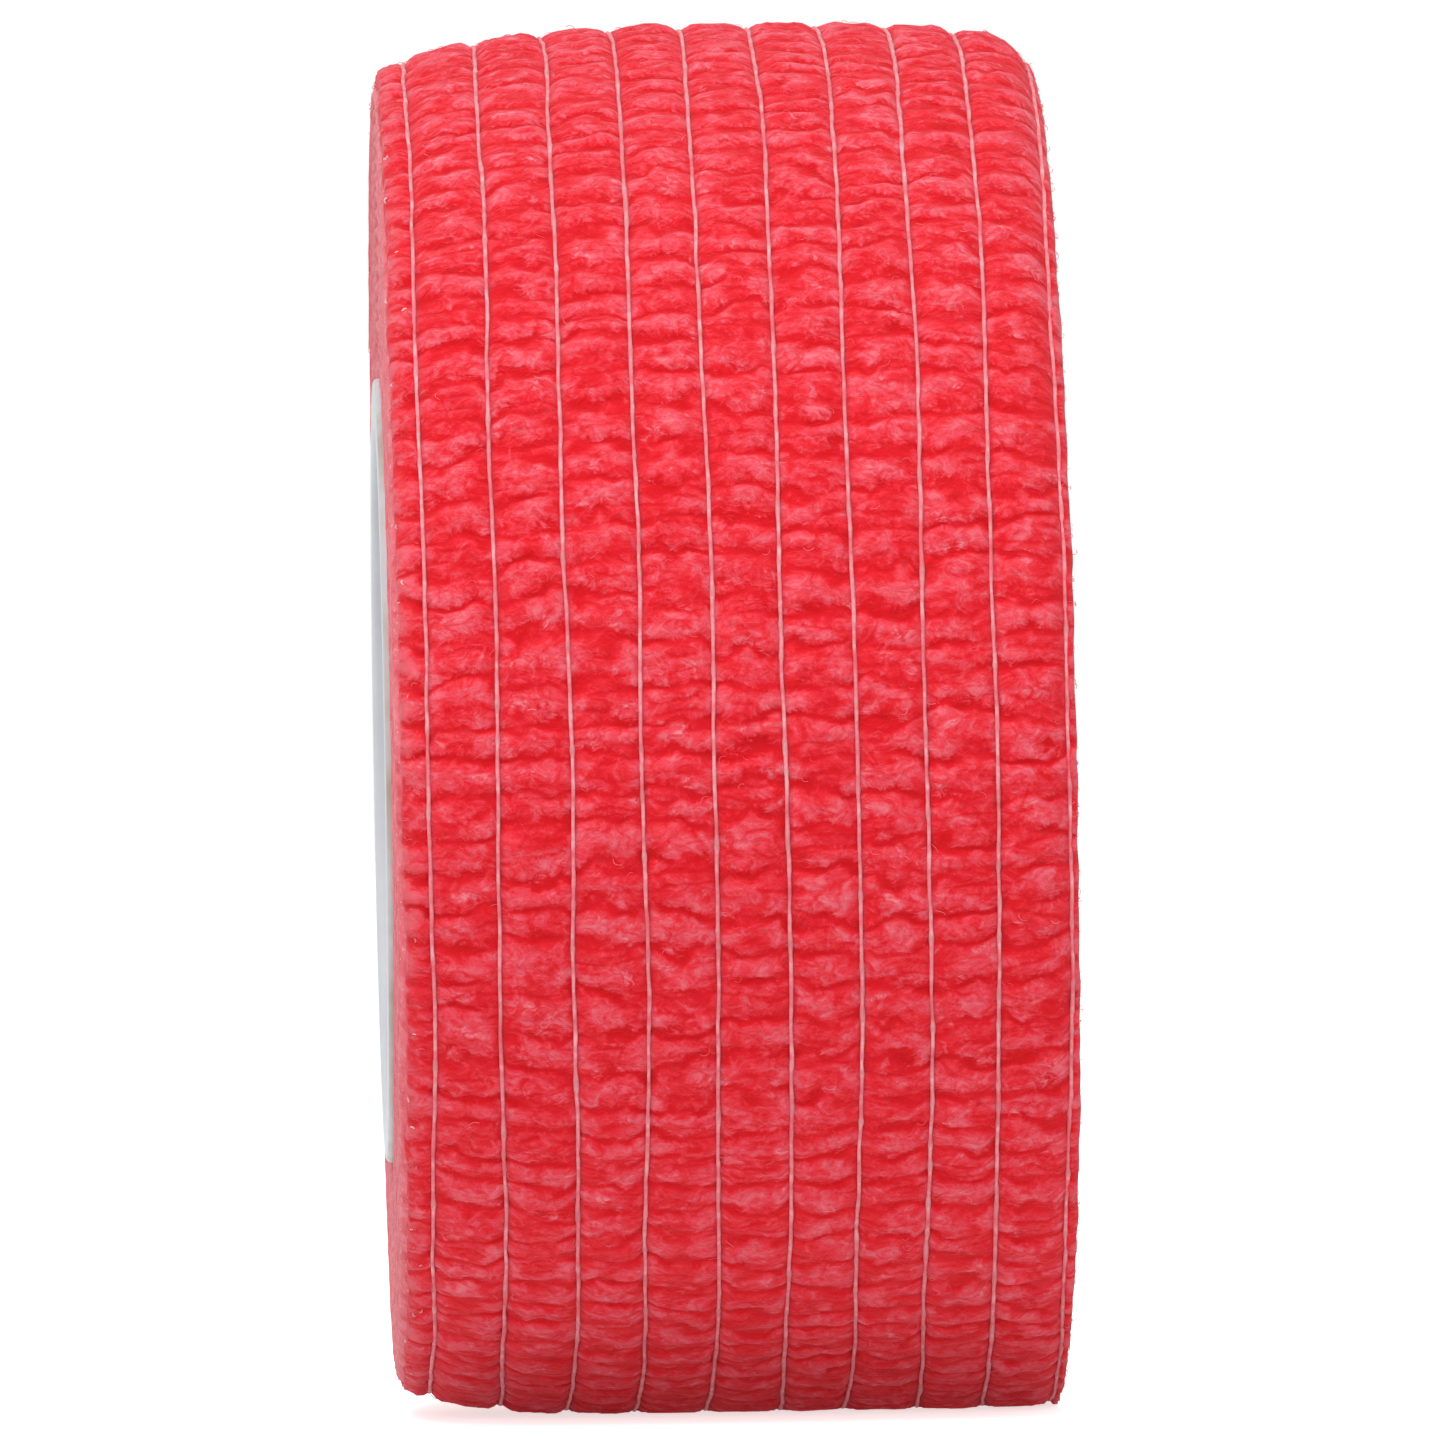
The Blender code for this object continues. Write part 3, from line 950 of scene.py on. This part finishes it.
def thread_tree():
    """Sweeps a round, slightly uneven thread with knots in its covering along each path in the seed."""
    tree, given = new_tree("covered thread", {
        "Diameter": 0.15 * MM,
        "Unevenness": 0.35,
        "Kink": 0.05 * MM,
        "Kink length": 0.9 * MM,
        "Knot length": 0.55 * MM,
        "Step": 0.14 * MM,
        "Sides": 7,
        "Material": None,
    })
    path = add(tree, "GeometryNodeMeshToCurve", {"Mesh": given["Geometry"]})
    path = add(tree, "GeometryNodeResampleCurve", {"Curve": path, "Length": given["Step"]}, mode="LENGTH")
    spot = add(tree, "GeometryNodeInputPosition")
    kinks, knots = (
        add(tree, "ShaderNodeMath", {0: 1.0, 1: given[label]}, operation="DIVIDE")
        for label in ("Kink length", "Knot length")
    )
    waver = add(tree, "ShaderNodeTexNoise", {"Vector": spot, "Scale": kinks, "Detail": 1.0}, output=None)
    aside = add(tree, "ShaderNodeVectorMath", {0: waver["Color"], 1: (0.5, 0.5, 0.5)}, operation="SUBTRACT")
    aside = add(tree, "ShaderNodeVectorMath", {0: aside, "Scale": given["Kink"]}, operation="SCALE")
    uneven = add(tree, "ShaderNodeMath", {0: waver["Fac"], 1: 0.5}, operation="SUBTRACT")
    uneven = add(
        tree, "ShaderNodeMath", {0: uneven, 1: given["Unevenness"], 2: 0.5}, operation="MULTIPLY_ADD"
    )

    # a knot swells the thread by a third
    knots = add(tree, "ShaderNodeTexNoise", {"Vector": spot, "Scale": knots, "Detail": 0.0})
    knots = add(tree, "ShaderNodeMapRange", {"Value": knots, "From Min": 0.62, "From Max": 0.72})
    swollen = add(tree, "ShaderNodeMath", {0: knots, 1: 0.17, 2: uneven}, operation="MULTIPLY_ADD")
    radius = add(tree, "ShaderNodeMath", {0: swollen, 1: given["Diameter"]}, operation="MULTIPLY")
    path = add(
        tree, "GeometryNodeStoreNamedAttribute", {"Geometry": path, "Name": "knot", "Value": knots},
        data_type="FLOAT",
    )
    path = add(tree, "GeometryNodeSetCurveRadius", {"Curve": path, "Radius": radius})
    path = add(tree, "GeometryNodeSetPosition", {"Geometry": path, "Offset": aside})
    ring = add(tree, "GeometryNodeCurvePrimitiveCircle", {"Resolution": given["Sides"], "Radius": 1.0})
    scaled = add(tree, "GeometryNodeInputRadius")
    body = add(
        tree, "GeometryNodeCurveToMesh",
        {"Curve": path, "Profile Curve": ring, "Scale": scaled, "Fill Caps": True},
    )
    return close_tree(tree, body, given["Material"])


def wound_tree():
    """Sweeps the strip's cross-section, the seed, along the spiral of the inner turns."""
    tree, given = new_tree("wound strip", {
        "Axis height": 24.3 * MM,
        "First radius": 14.95 * MM,
        "Pitch": 0.66 * MM,
        "Lean": 0.13,
        "Start angle": 0.16,
        "End angle": 98.0,
        "Last turn": 17.0,
        "Steps": 3000,
        "Half width": 12.4 * MM,
        "Skew": 0.10 * MM,
        "Wander": 0.16 * MM,
        "Ruffle": 0.10 * MM,
        "Seed": 5.0,
        "Material": None,
    })
    # the running angle of each point of the path
    last = add(tree, "ShaderNodeMath", {0: given["Steps"], 1: 1.0}, operation="SUBTRACT")
    index = add(tree, "GeometryNodeInputIndex")
    share = add(tree, "ShaderNodeMath", {0: index, 1: last}, operation="DIVIDE")
    start, end = given["Start angle"], given["End angle"]
    swept = add(tree, "ShaderNodeMath", {0: end, 1: start}, operation="SUBTRACT")
    angle = add(tree, "ShaderNodeMath", {0: share, 1: swept, 2: start}, operation="MULTIPLY_ADD")

    # how many turns lie under it
    turn = add(tree, "ShaderNodeMath", {0: angle, 1: TURN}, operation="DIVIDE")
    part, whole = (add(tree, "ShaderNodeMath", {0: turn}, operation=kind) for kind in ("FRACT", "FLOOR"))
    climb = add(
        tree, "ShaderNodeMapRange", {"Value": part, "From Min": CLIMB, "From Max": 1.0},
        interpolation_type="SMOOTHSTEP",
    )
    climb = add(tree, "ShaderNodeMath", {0: climb, 1: part}, operation="SUBTRACT")
    hug = add(
        tree, "ShaderNodeMapRange", {"Value": whole, "From Max": HUGGING_TURNS, "To Min": 1.0, "To Max": 0.0}
    )
    turn = add(tree, "ShaderNodeMath", {0: climb, 1: hug, 2: turn}, operation="MULTIPLY_ADD")

    # the path: a spiral about the core's axis, through the middle of the strip, 0.46 of a pitch up
    cosine, sine = (add(tree, "ShaderNodeMath", {0: angle}, operation=kind) for kind in ("COSINE", "SINE"))
    leaning = add(tree, "ShaderNodeMath", {0: cosine, 1: given["Lean"]}, operation="MULTIPLY")
    leaning = add(tree, "ShaderNodeMath", {0: 1.0, 1: leaning}, operation="SUBTRACT")
    middle = add(tree, "ShaderNodeMath", {0: turn, 1: 0.46}, operation="ADD")
    growth = add(tree, "ShaderNodeMath", {0: middle, 1: given["Pitch"]}, operation="MULTIPLY")
    radius = add(
        tree, "ShaderNodeMath", {0: growth, 1: leaning, 2: given["First radius"]}, operation="MULTIPLY_ADD"
    )
    back, down = (
        add(tree, "ShaderNodeMath", {0: radius, 1: wave}, operation="MULTIPLY") for wave in (sine, cosine)
    )
    forward = add(tree, "ShaderNodeMath", {0: back, 1: -1.0}, operation="MULTIPLY")
    height = add(tree, "ShaderNodeMath", {0: given["Axis height"], 1: down}, operation="SUBTRACT")
    place = add(tree, "ShaderNodeCombineXYZ", {"Y": forward, "Z": height})
    line = add(tree, "GeometryNodeMeshLine", {"Count": given["Steps"]})
    line = add(tree, "GeometryNodeSetPosition", {"Geometry": line, "Position": place})
    line = add(
        tree, "GeometryNodeStoreNamedAttribute", {"Geometry": line, "Name": "angle", "Value": angle},
        data_type="FLOAT",
    )
    path, section = (
        add(tree, "GeometryNodeMeshToCurve", {"Mesh": mesh}) for mesh in (line, given["Geometry"])
    )
    body = add(
        tree, "GeometryNodeCurveToMesh", {"Curve": path, "Profile Curve": section, "Fill Caps": True}
    )

    # the soft edges sink, most of all in the outer turns
    wound = add(tree, "GeometryNodeInputNamedAttribute", {"Name": "angle"}, data_type="FLOAT")
    spot = add(tree, "GeometryNodeInputPosition")
    across = add(tree, "ShaderNodeSeparateXYZ", {"Vector": spot})
    now = add(tree, "ShaderNodeMath", {0: given["Last turn"], 1: TURN}, operation="MULTIPLY")
    now = add(tree, "ShaderNodeMath", {0: wound, 1: now}, operation="DIVIDE")
    bottom = add(tree, "ShaderNodeMath", {0: wound}, operation="COSINE")
    over = add(tree, "ShaderNodeMath", {0: bottom, 1: -0.5, 2: 0.5}, operation="MULTIPLY_ADD")
    sunk = 0.0
    for side, plain, raised, reach in SOFT_EDGES:
        away = add(
            tree, "ShaderNodeMath", {0: across, 1: side, 2: given["Half width"]}, operation="MULTIPLY_ADD"
        )
        away = add(tree, "ShaderNodeMath", {0: away, 1: 0.0}, operation="MAXIMUM")
        fall = add(tree, "ShaderNodeMath", {0: away, 1: -1.0 / (reach * MM)}, operation="MULTIPLY")
        fall = add(tree, "ShaderNodeMath", {0: fall}, operation="EXPONENT")
        much = add(tree, "ShaderNodeMath", {0: over, 1: raised * MM, 2: plain * MM}, operation="MULTIPLY_ADD")
        sunk = add(tree, "ShaderNodeMath", {0: fall, 1: much, 2: sunk}, operation="MULTIPLY_ADD")
    late = add(tree, "ShaderNodeMath", {0: now, 1: 1.7}, operation="POWER")
    sunk = add(tree, "ShaderNodeMath", {0: sunk, 1: late}, operation="MULTIPLY")

    # ruffles on the edges follow the creping, 1.3 mm from one to the next
    finer = add(
        tree, "ShaderNodeTexNoise",
        {"Vector": spot, "W": given["Seed"], "Scale": 1 / (1.3 * MM), "Detail": 1.0}, noise_dimensions="4D",
    )
    slow = add(
        tree, "ShaderNodeTexNoise", {"W": wound, "Scale": 0.8, "Detail": 2.0, "Roughness": 0.6},
        noise_dimensions="1D",
    )
    rough = add(tree, "ShaderNodeTexNoise", {"Vector": spot, "Scale": 1 / (0.5 * MM), "Detail": 1.0})
    finer, slow, rough = (
        add(tree, "ShaderNodeMath", {0: grey, 1: 0.5}, operation="SUBTRACT") for grey in (finer, slow, rough)
    )
    ruffle = add(tree, "ShaderNodeMath", {0: finer, 1: given["Ruffle"]}, operation="MULTIPLY")
    inward = add(tree, "ShaderNodeMath", {0: ruffle, 1: sunk}, operation="SUBTRACT")
    centre = add(tree, "ShaderNodeCombineXYZ", {"Z": given["Axis height"]})
    arm = add(tree, "ShaderNodeVectorMath", {0: spot, 1: centre}, operation="SUBTRACT")
    arm = add(tree, "ShaderNodeVectorMath", {0: arm, 1: (0.0, 1.0, 1.0)}, operation="MULTIPLY")
    arm = add(tree, "ShaderNodeVectorMath", {0: arm}, operation="NORMALIZE")
    radial = add(tree, "ShaderNodeVectorMath", {0: arm, "Scale": inward}, operation="SCALE")

    # each turn lies a little to one side, and the last ones are wound askew
    aside = add(tree, "ShaderNodeMath", {0: slow, 1: given["Wander"]}, operation="MULTIPLY")
    outermost = add(tree, "ShaderNodeMapRange", {"Value": now, "From Min": 0.82, "From Max": 1.0})
    askew = add(tree, "ShaderNodeMath", {0: bottom, 1: given["Skew"]}, operation="MULTIPLY")
    askew = add(tree, "ShaderNodeMath", {0: askew, 1: outermost, 2: aside}, operation="MULTIPLY_ADD")
    askew = add(tree, "ShaderNodeMath", {0: rough, 1: given["Ruffle"], 2: askew}, operation="MULTIPLY_ADD")
    sideways = add(tree, "ShaderNodeCombineXYZ", {"X": askew})
    offset = add(tree, "ShaderNodeVectorMath", {0: radial, 1: sideways}, operation="ADD")
    body = add(tree, "GeometryNodeSetPosition", {"Geometry": body, "Offset": offset})
    return close_tree(tree, body, given["Material"])


def fuzz_tree():
    """Plants short curled fibres on the seed's faces. They lie mostly across the strip, along X."""
    tree, given = new_tree("loose fibres", {
        "Nap": "nap",
        "Fibres per mm2": 1.2,
        "Length": 0.40 * MM,
        "Thickness": 0.022 * MM,
        "Swing": 1.0,
        "Least lift": -0.12,
        "Most lift": 0.35,
        "Seed": 1,
        "Material": None,
    })
    density = add(tree, "GeometryNodeInputNamedAttribute", {"Name": given["Nap"]}, data_type="FLOAT")
    crowd = add(tree, "ShaderNodeMath", {0: given["Fibres per mm2"], 1: 1 / MM ** 2}, operation="MULTIPLY")
    density = add(tree, "ShaderNodeMath", {0: crowd, 1: density}, operation="MULTIPLY")
    planted = add(
        tree, "GeometryNodeDistributePointsOnFaces",
        {"Mesh": given["Geometry"], "Density": density, "Seed": given["Seed"]}, output=None,
    )

    # each fibre stands on its face, then swings about it, to either side, and lifts off it
    back = add(tree, "ShaderNodeMath", {0: given["Swing"], 1: -1.0}, operation="MULTIPLY")
    swing, lift, size = (
        add(
            tree, "FunctionNodeRandomValue", {"Min": low, "Max": high, "Seed": seed}, output=1,
            data_type="FLOAT",
        )
        for low, high, seed in (
            (back, given["Swing"], given["Seed"]),
            (given["Least lift"], given["Most lift"], 71),
            (0.45, 1.3, 73),
        )
    )
    side = add(
        tree, "FunctionNodeRandomValue", {"Probability": 0.5, "Seed": 72}, output=3, data_type="BOOLEAN"
    )
    about = add(tree, "ShaderNodeMath", {0: side, 1: math.pi, 2: swing}, operation="MULTIPLY_ADD")
    pose = add(tree, "FunctionNodeAlignRotationToVector", {"Vector": planted["Normal"]}, axis="Z")
    pose = add(
        tree, "FunctionNodeAlignRotationToVector", {"Rotation": pose, "Vector": (1.0, 0.0, 0.0)},
        axis="X", pivot_axis="Z",
    )
    for angles in ({"Z": about}, {"Y": lift}):
        turn = add(tree, "ShaderNodeCombineXYZ", angles)
        turn = add(tree, "FunctionNodeEulerToRotation", {"Euler": turn})
        pose = add(
            tree, "FunctionNodeRotateRotation", {"Rotation": pose, "Rotate By": turn}, rotation_space="LOCAL"
        )

    # one fibre, about as long as 1, with a curl in it
    curl = add(tree, "GeometryNodeCurvePrimitiveBezierSegment", {
        "Resolution": 5, "Start": (0.0, 0.0, -0.08), "Start Handle": (0.15, 0.15, 0.30),
        "End Handle": (0.65, 0.35, 0.34), "End": (0.85, -0.12, 0.10),
    })
    thin = add(tree, "ShaderNodeMath", {0: given["Thickness"], 1: given["Length"]}, operation="DIVIDE")
    thin = add(tree, "ShaderNodeMath", {0: thin, 1: 0.5}, operation="MULTIPLY")
    ring = add(tree, "GeometryNodeCurvePrimitiveCircle", {"Resolution": 3, "Radius": thin})
    fibre = add(tree, "GeometryNodeCurveToMesh", {"Curve": curl, "Profile Curve": ring, "Fill Caps": True})
    size = add(tree, "ShaderNodeMath", {0: size, 1: given["Length"]}, operation="MULTIPLY")
    size = add(tree, "ShaderNodeCombineXYZ", {"X": size, "Y": size, "Z": size})
    fibres = add(
        tree, "GeometryNodeInstanceOnPoints",
        {"Points": planted["Points"], "Instance": fibre, "Rotation": pose, "Scale": size},
    )
    return close_tree(tree, fibres, given["Material"])


# ---------------------------------------------------------------- operators


class MakeCoreTube(bpy.types.Operator):
    """Turn the plastic core tube, with its rounded rims"""

    bl_idname = "wrap_roll.core_tube"
    bl_label = "Core Tube"

    def execute(self, context):
        scene = context.scene
        rim, outer_tan_depth, steps = 0.22 * MM, 0.12 * MM, 192
        half = (CORE_HIGH.x - CORE_LOW.x) / 2 - rim
        wide, close = CORE_RADIUS - rim, CORE_RADIUS - scene.winding_sizes.core_wall + rim
        outline = []
        for corner, (radius, x) in enumerate(((wide, half), (close, half), (close, -half), (wide, -half))):
            for turn in np.radians(np.linspace(0, 90, 6) + 90 * corner):
                outline.append((x + rim * math.sin(turn), radius + rim * math.cos(turn)))
        xs, radii = np.array(outline).T
        angles = (TURN * np.arange(steps) / steps)[:, None]
        points = np.broadcast_arrays(xs, radii * np.cos(angles), AXIS_Z + radii * np.sin(angles))
        faces = ring_faces(steps, len(xs), closed=True)
        mesh = solid_mesh("core_sleeve", np.stack(points, -1), faces, sharp=40)
        # marks the outside of the tube, 0.12 mm deep, for its tan patches
        keep(mesh, "outer_tan", np.tile(radii > CORE_RADIUS - outer_tan_depth, steps))
        mesh.materials.append(material_named("extruded_polypropylene", core_material, scene.wrap_colours))
        finished(new_object("core_sleeve", mesh), "core_plastic", "core_tube")
        return {"FINISHED"}


class MakeInnerTurns(bpy.types.Operator):
    """Wind the turns of the strip under the last one, with their ruffled cut edges"""

    bl_idname = "wrap_roll.inner_turns"
    bl_label = "Inner Turns"

    def execute(self, context):
        scene = context.scene
        winding = Winding(scene)
        # The cross-section, a flat band with round lips, as places across and through the strip. The
        # inner face and the right lip come first, and half a turn of them gives the rest.
        half, lip, seam = winding.width / 2 * MM, 0.29 * MM, 0.005
        inset = half - lip
        shares = (-0.95, -0.87, -0.75, -0.55, 0.0, 0.55, 0.75, 0.87, 0.95)
        outline = [(share * inset, -lip, 0.0) for share in shares]
        for angle in np.radians((90, 54, 18, -18, -54, -90)):
            outline.append((inset + lip * math.cos(angle), -lip * math.sin(angle), 0.0))
        outline += [(-across, -through, 0.0) for across, through, _ in outline]
        count = len(outline)
        section = bpy.data.meshes.new("section")
        section.from_pydata(outline, [(i, (i + 1) % count) for i in range(count)], [])
        values = {
            "Axis height": winding.axis_z * MM,
            "First radius": winding.first * MM,
            "Pitch": winding.pitch * MM,
            "Lean": winding.lean,
            "Start angle": winding.flat_angle,
            "End angle": winding.root - TURN - seam,
            "Last turn": scene.winding_sizes.turns + 1.0,
            "Half width": half,
            "Skew": winding.skew * MM,
            "Material": material_named("knife_cut_nonwoven", edge_material, scene.wrap_colours),
        }
        turns = grown("inner_turns_web", section, wound_tree(), values)
        finished(turns, "wound_web", "inner_turns")
        flat = (winding.width * MM, winding.strip_length(winding.flat_angle, winding.root - TURN) * MM)
        return {"FINISHED"}


class MakeOuterTurn(bpy.types.Operator):
    """Lay the last turn of the creped web round the roll"""

    bl_idname = "wrap_roll.outer_turn"
    bl_label = "Outer Turn"

    def execute(self, context):
        winding = Winding(context.scene)
        start, end = winding.root - TURN, winding.angle_at(SEAM_RUN)
        web, flat = web_strip("outer_turn_web", context.scene, winding, start, end)
        finished(web, "crepe_web", "outer_turn")
        return {"FINISHED"}


class MakeFreeEnd(bpy.types.Operator):
    """Lay the free end of the strip, from just before its hinge to its tip"""

    bl_idname = "wrap_roll.free_end"
    bl_label = "Free End"

    def execute(self, context):
        winding = Winding(context.scene)
        start, end = winding.angle_at(SEAM_RUN), winding.tip
        web, flat = web_strip("free_end_web", context.scene, winding, start, end, lined=True)
        finished(web, "crepe_web", "free_end", bend=winding.bend())
        return {"FINISHED"}


class MakeThreads(bpy.types.Operator):
    """Lay an elastic thread in each valley of the web, on the roll and on its free end"""

    bl_idname = "wrap_roll.threads"
    bl_label = "Elastic Threads"

    def execute(self, context):
        scene = context.scene
        winding = Winding(scene)
        crepe = Crepe(scene, winding)
        tree = thread_tree()
        diameter = scene.thread_sizes.diameter
        yarn = material_named("covered_elastane", thread_material, scene.wrap_colours)
        values = {"Diameter": diameter, "Material": yarn}
        first, tip = float(winding.run_at(winding.root - TURN)), float(winding.run_at(winding.tip))
        # in mm: the step along a thread, and how far each cut thread stands out past the web's end
        step, over = 0.33, np.random.default_rng(8).uniform(0.05, 0.7, crepe.count)
        for thread in range(crepe.count):
            for label, low, high, bend in (
                ("elastic_thread", first, SEAM_RUN, None),
                ("free_end_thread", SEAM_RUN, tip + over[thread], winding.bend()),
            ):
                node = f"{label}_{thread + 1:02d}"
                run = np.linspace(low, high, max(int((high - low) / step), 8))
                angle = winding.angle_at(run)
                x, height = crepe.thread_path(thread, run)
                points = winding.place(x, winding.outer(angle) + height - winding.droop(x, angle), angle)
                points[:, 2] = np.maximum(points[:, 2], diameter / 2)
                seed = bpy.data.meshes.new("path")
                seed.from_pydata(points.tolist(), [(i, i + 1) for i in range(len(run) - 1)], [])
                finished(grown(f"{node}_yarn", seed, tree, values), "elastic", node, bend=bend)
        return {"FINISHED"}


class PlantFuzz(bpy.types.Operator):
    """Plant loose fibres on the web, and undyed lint along the roll's left rim"""

    bl_idname = "wrap_roll.fuzz"
    bl_label = "Loose Fibres"

    def execute(self, context):
        colours = context.scene.wrap_colours
        tree = fuzz_tree()
        fibre = material_named("loose_polyamide_fibre", fibre_material, colours)
        white = material_named("undyed_polyester_lint", lint_material, colours)
        kinds = {
            "fuzz": {"Nap": "nap", "Fibres per mm2": 0.8, "Seed": 3, "Material": fibre},
            "rim_fuzz": {
                "Nap": "rims", "Fibres per mm2": 5.0, "Length": 0.24 * MM, "Swing": 3.1, "Seed": 4,
                "Material": fibre,
            },
            "lint": {
                "Nap": "left_rim", "Fibres per mm2": 3.2, "Length": 0.18 * MM, "Thickness": 0.06 * MM,
                "Swing": 3.1, "Seed": 5, "Material": white,
            },
        }
        for web, bend in (("outer_turn_web", None), ("free_end_web", Winding(context.scene).bend())):
            for kind, values in kinds.items():
                seed = bpy.data.objects[web].data.copy()
                finished(grown(f"{web}_{kind}", seed, tree, values), "crepe_web", bend=bend)
        return {"FINISHED"}


class SetUpStudio(bpy.types.Operator):
    """Set the floor, the lamps, the world and the camera"""

    bl_idname = "wrap_roll.studio"
    bl_label = "Studio"

    def execute(self, context):
        scene = context.scene
        sizes = scene.studio_sizes
        reach, level = 3.0, -0.02 * MM
        corners = [(x * reach, y * reach, level) for x, y in ((-1, -1), (1, -1), (1, 1), (-1, 1))]
        mesh = bpy.data.meshes.new("studio_floor")
        mesh.from_pydata(corners, [], [(0, 1, 2, 3)])
        mesh.materials.append(material_named("white_acrylic_table", floor_material))
        new_object("studio_floor", mesh)

        target = (Vector(CAD_BOX[0]) + Vector(CAD_BOX[1])) / 2 + Vector(sizes.aim)
        for name, place, power in (
            ("key_lamp", (-0.10, -0.28, 0.62), sizes.key), ("front_lamp", (-0.15, -0.75, 0.30), sizes.fill)
        ):
            lamp = bpy.data.lights.new(name, "AREA")
            lamp.shape = "DISK"
            lamp.size = 0.50
            lamp.energy = power
            holder = bpy.data.objects.new(name, lamp)
            holder.location = place
            holder.rotation_euler = (target - Vector(place)).to_track_quat("-Z", "Y").to_euler()
            scene.collection.objects.link(holder)

        world = bpy.data.worlds.new("white_room")
        world.use_nodes = True
        tree = world.node_tree
        tree.nodes.clear()
        room, white = (
            add(tree, "ShaderNodeBackground", {"Color": (1.0, 1.0, 1.0), "Strength": strength})
            for strength in (sizes.world, 1.0)
        )
        both = add(tree, "ShaderNodeMixShader", {0: seen_straight(tree), 1: room, 2: white})
        add(tree, "ShaderNodeOutputWorld", {"Surface": both}, output=None)
        scene.world = world

        camera = bpy.data.cameras.new("camera")
        camera.lens = sizes.lens
        camera.sensor_width = 36.0
        camera.clip_start, camera.clip_end = 0.01, 20.0
        eye = bpy.data.objects.new("camera", camera)
        place = target + sizes.distance * Vector((-math.sin(sizes.yaw), -math.cos(sizes.yaw), 0.0))
        turn = (target - place).to_track_quat("-Z", "Y").to_matrix().to_4x4()
        eye.matrix_world = Matrix.Translation(place) @ turn @ Matrix.Rotation(sizes.roll, 4, "Z")
        scene.collection.objects.link(eye)
        scene.camera = eye
        scene.view_settings.view_transform = "Standard"
        return {"FINISHED"}


class WrapRollPanel(bpy.types.Panel):
    """Lists the pieces in the sidebar"""

    bl_idname = "VIEW3D_PT_wrap_roll"
    bl_label = "Wrap Roll"
    bl_space_type = "VIEW_3D"
    bl_region_type = "UI"
    bl_category = "Wrap Roll"

    def draw(self, context):
        for operator in OPERATORS:
            self.layout.operator(operator.bl_idname)
        for name, group in GROUPS:
            box = self.layout.box()
            box.label(text=group.__doc__)
            for label in group.__annotations__:
                box.prop(getattr(context.scene, name), label)


GROUPS = (
    ("winding_sizes", WindingSizes),
    ("thread_sizes", ThreadSizes),
    ("crepe_sizes", CrepeSizes),
    ("wrap_colours", WrapColours),
    ("studio_sizes", StudioSizes),
)
OPERATORS = (MakeCoreTube, MakeInnerTurns, MakeOuterTurn, MakeFreeEnd, MakeThreads, PlantFuzz, SetUpStudio)


def register():
    for name, group in GROUPS:
        bpy.utils.register_class(group)
        setattr(bpy.types.Scene, name, bpy.props.PointerProperty(type=group))
    for item in (*OPERATORS, WrapRollPanel):
        bpy.utils.register_class(item)


def unregister():
    for item in reversed((*OPERATORS, WrapRollPanel)):
        bpy.utils.unregister_class(item)
    for name, group in reversed(GROUPS):
        delattr(bpy.types.Scene, name)
        bpy.utils.unregister_class(group)


def main():
    register()
    for operator in OPERATORS:
        area, name = operator.bl_idname.split(".")
        getattr(getattr(bpy.ops, area), name)()


if __name__ == "__main__":
    main()
